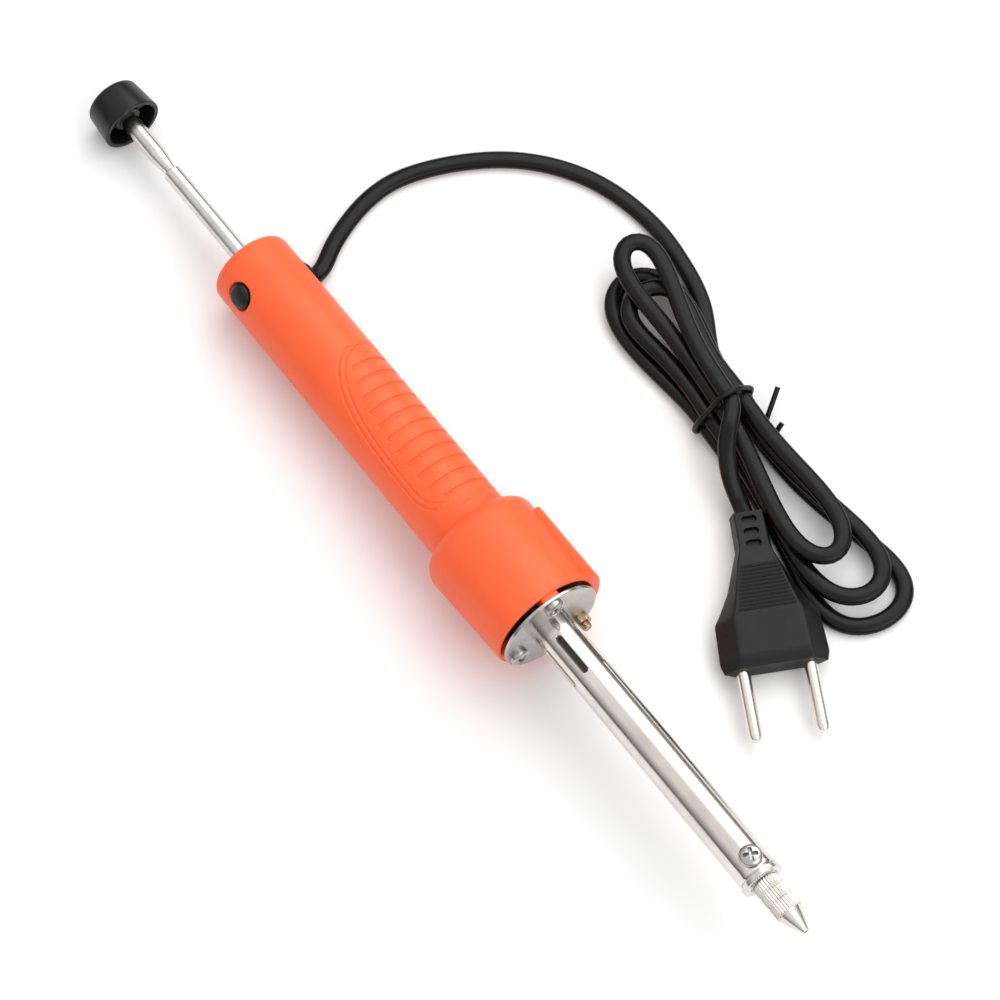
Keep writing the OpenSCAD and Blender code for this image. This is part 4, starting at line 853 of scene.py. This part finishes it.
plate_screws = [laid(stood(screw_surface(2.9, 2.0, 1.45, 10), PLATE_T, way)) for way in FIXINGS[:2]]
piece("plate_screws", surface_mesh("plate_screws", plate_screws, 35), zinc, "handle", "flange_screws")
clamp = outward(screw_surface(3.3, 2.2, 1.5, 3.0) + [BARREL_R, 0, 0], CLAMP_X, CLAMP_WAY)
piece("clamp_screw", surface_mesh("clamp_screw", [laid(clamp)], 35), zinc, "handle", "barrel_screw")

# Stud and nut
# The plate's third fixing is a threaded brass stud, which is screwed into the head's third post, with
# a brass hexagon nut on it.
STUD_R, THREAD_DEPTH, THREAD_PITCH = 1.45, 0.16, 0.5
NUT_FLAT_R, NUT_T = 2.3, 2.2
brass = finish("fixing_brass", (0.50, 0.38, 0.23), (0.36, 0.26, 0.15), (0.2, 0.38),
               grain_scale=900, mark_scale=200, bump=0.08, metallic=1.0)


def stud_surface():
    """A rod whose radius rises and falls along it as the thread's ridges do, twisted round once a pitch."""
    places = np.r_[-11.2, np.linspace(-11.1, 4.7, 150), 4.9, 5.0, 5.0]
    x, a = np.meshgrid(places, np.arange(40) * 2 * np.pi / 40, indexing="ij")
    r = STUD_R - THREAD_DEPTH * (0.5 + 0.5 * np.cos(2 * np.pi * x / THREAD_PITCH - a))
    r = r * np.where(x > 4.85, 0.86, 1.0)
    r[-1] = AXIS
    return round_axis(x, r, a)


def nut_surface():
    """A hexagon whose corners are cut by a cone at both ends, open for the stud."""
    a = np.arange(120) * 2 * np.pi / 120
    flat = NUT_FLAT_R / np.cos((a + np.pi / 6) % (np.pi / 3) - np.pi / 6)
    x = np.array([0, 0.0, 0.25, 1.1, 1.95, NUT_T, NUT_T])
    limit = np.array([1.5, 2.35, 2.7, 9, 2.7, 2.35, 1.5])
    return round_axis(x[:, None], np.minimum(flat, limit[:, None]), a)


stud = laid(stood(stud_surface(), 0, FIXINGS[2]))
piece("stud", surface_mesh("stud", [stud], 40), brass, "handle", "flange_stud")
nut = laid(stood(nut_surface(), PLATE_T, FIXINGS[2]))
piece("stud_nut", surface_mesh("stud_nut", [nut], 30), brass, "handle", "flange_nut")

# Springs
# The long return spring stands between the piston and the pump's front seal, and the small latch
# spring lifts the button. Both are coils of spring steel.
RETURN_LEN, RETURN_SHORT, RETURN_REAR = 58.0, 13.0, -114.2
LATCH_LEN, LATCH_SHORT, LATCH_FOOT = 3.4, 2.2, 3.9
spring_steel = finish("spring_steel", (0.5, 0.49, 0.48), (0.36, 0.35, 0.34), (0.25, 0.4),
                      grain_scale=900, mark_scale=160, metallic=1.0)


def coil(length, radius, wire, turns):
    """A helix of round wire from 0 to length, its own ends level with both: (height, across, across)."""
    a = np.linspace(0, 2 * np.pi * turns, 28 * turns + 1)
    line = round_axis(np.linspace(wire / 2, length - wire / 2, len(a)), radius, a)
    return wire_along(line, bulged(10, wire, wire, 1.0))


return_coil = laid(coil(RETURN_LEN, 6.0, 0.9, 9) + [RETURN_REAR, 0, 0])
return_spring = piece("return_spring", surface_mesh("return_spring", [return_coil], 50), spring_steel,
                      "handle", "return_spring")
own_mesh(return_spring)
latch_coil = laid(outward(coil(LATCH_LEN, 2.0, 0.4, 4) + [LATCH_FOOT, 0, 0], BUTTON_X, BUTTON_WAY))
latch_spring = piece("latch_spring", surface_mesh("latch_spring", [latch_coil], 50), spring_steel,
                     "handle", "latch_spring")
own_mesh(latch_spring)

# Inner pieces
# What the handle and the barrel hide keeps its CAD shape and gets the finish of its own material: the
# rest of the pump and the latch, the heater and its wires.
plain_steel = finish("drawn_steel", (0.6, 0.59, 0.58), (0.45, 0.44, 0.43), (0.26, 0.42),
                     grain_scale=700, mark_scale=80, bump=0.08, metallic=1.0)
grey_plastic = finish("grey_moulding", (0.1, 0.1, 0.105), (0.13, 0.13, 0.135), (0.45, 0.6),
                      grain_scale=1400, bump=0.15)
white_plastic = finish("white_moulding", (0.72, 0.71, 0.68), (0.64, 0.63, 0.6), (0.35, 0.5),
                       grain_scale=1400, bump=0.1)
ceramic = finish("bare_ceramic", (0.78, 0.74, 0.64), (0.66, 0.61, 0.52), (0.6, 0.8),
                 grain_scale=800, mark_scale=90, bump=0.3)
hot_wire = finish("oxidised_heating_wire", (0.24, 0.21, 0.19), (0.14, 0.12, 0.11), (0.45, 0.65),
                  grain_scale=2600, mark_scale=180, bump=0.4, metallic=0.8)
mica = finish("mica_sheet", (0.5, 0.38, 0.22), (0.34, 0.24, 0.12), (0.25, 0.5),
              grain_scale=400, mark_scale=120, bump=0.2, coat=0.3)
black_board = finish("insulating_board", (0.015, 0.014, 0.013), (0.03, 0.028, 0.026), (0.5, 0.7),
                     grain_scale=1200, mark_scale=90, bump=0.2)
glass_sleeve = finish("glass_fibre_sleeve", (0.7, 0.68, 0.62), (0.55, 0.53, 0.48), (0.6, 0.85),
                      grain_scale=3000, mark_scale=200, bump=0.5)
brown_wire = finish("wire_insulation", (0.16, 0.05, 0.02), (0.1, 0.03, 0.012), (0.3, 0.45),
                    grain_scale=2000, mark_scale=120)
inner = {
    "rear_bush": grey_plastic, "latch_plate": plain_steel, "pump_cylinder": plain_steel,
    "cylinder_seal": grey_plastic, "retaining_clip": spring_steel, "piston": white_plastic,
    "piston_oring": rubber, "piston_nut": plain_steel, "suction_tube": plain_steel,
    "heater_core": ceramic, "heater_winding": hot_wire, "mica_sleeve": mica,
    "insulating_washer": black_board, "wire_splices": plain_steel, "heater_leads": glass_sleeve,
    "supply_wires": brown_wire}
for node, material in inner.items():
    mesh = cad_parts[node].data
    mesh.materials.clear()
    mesh.materials.append(material)

bpy.context.view_layer.update()
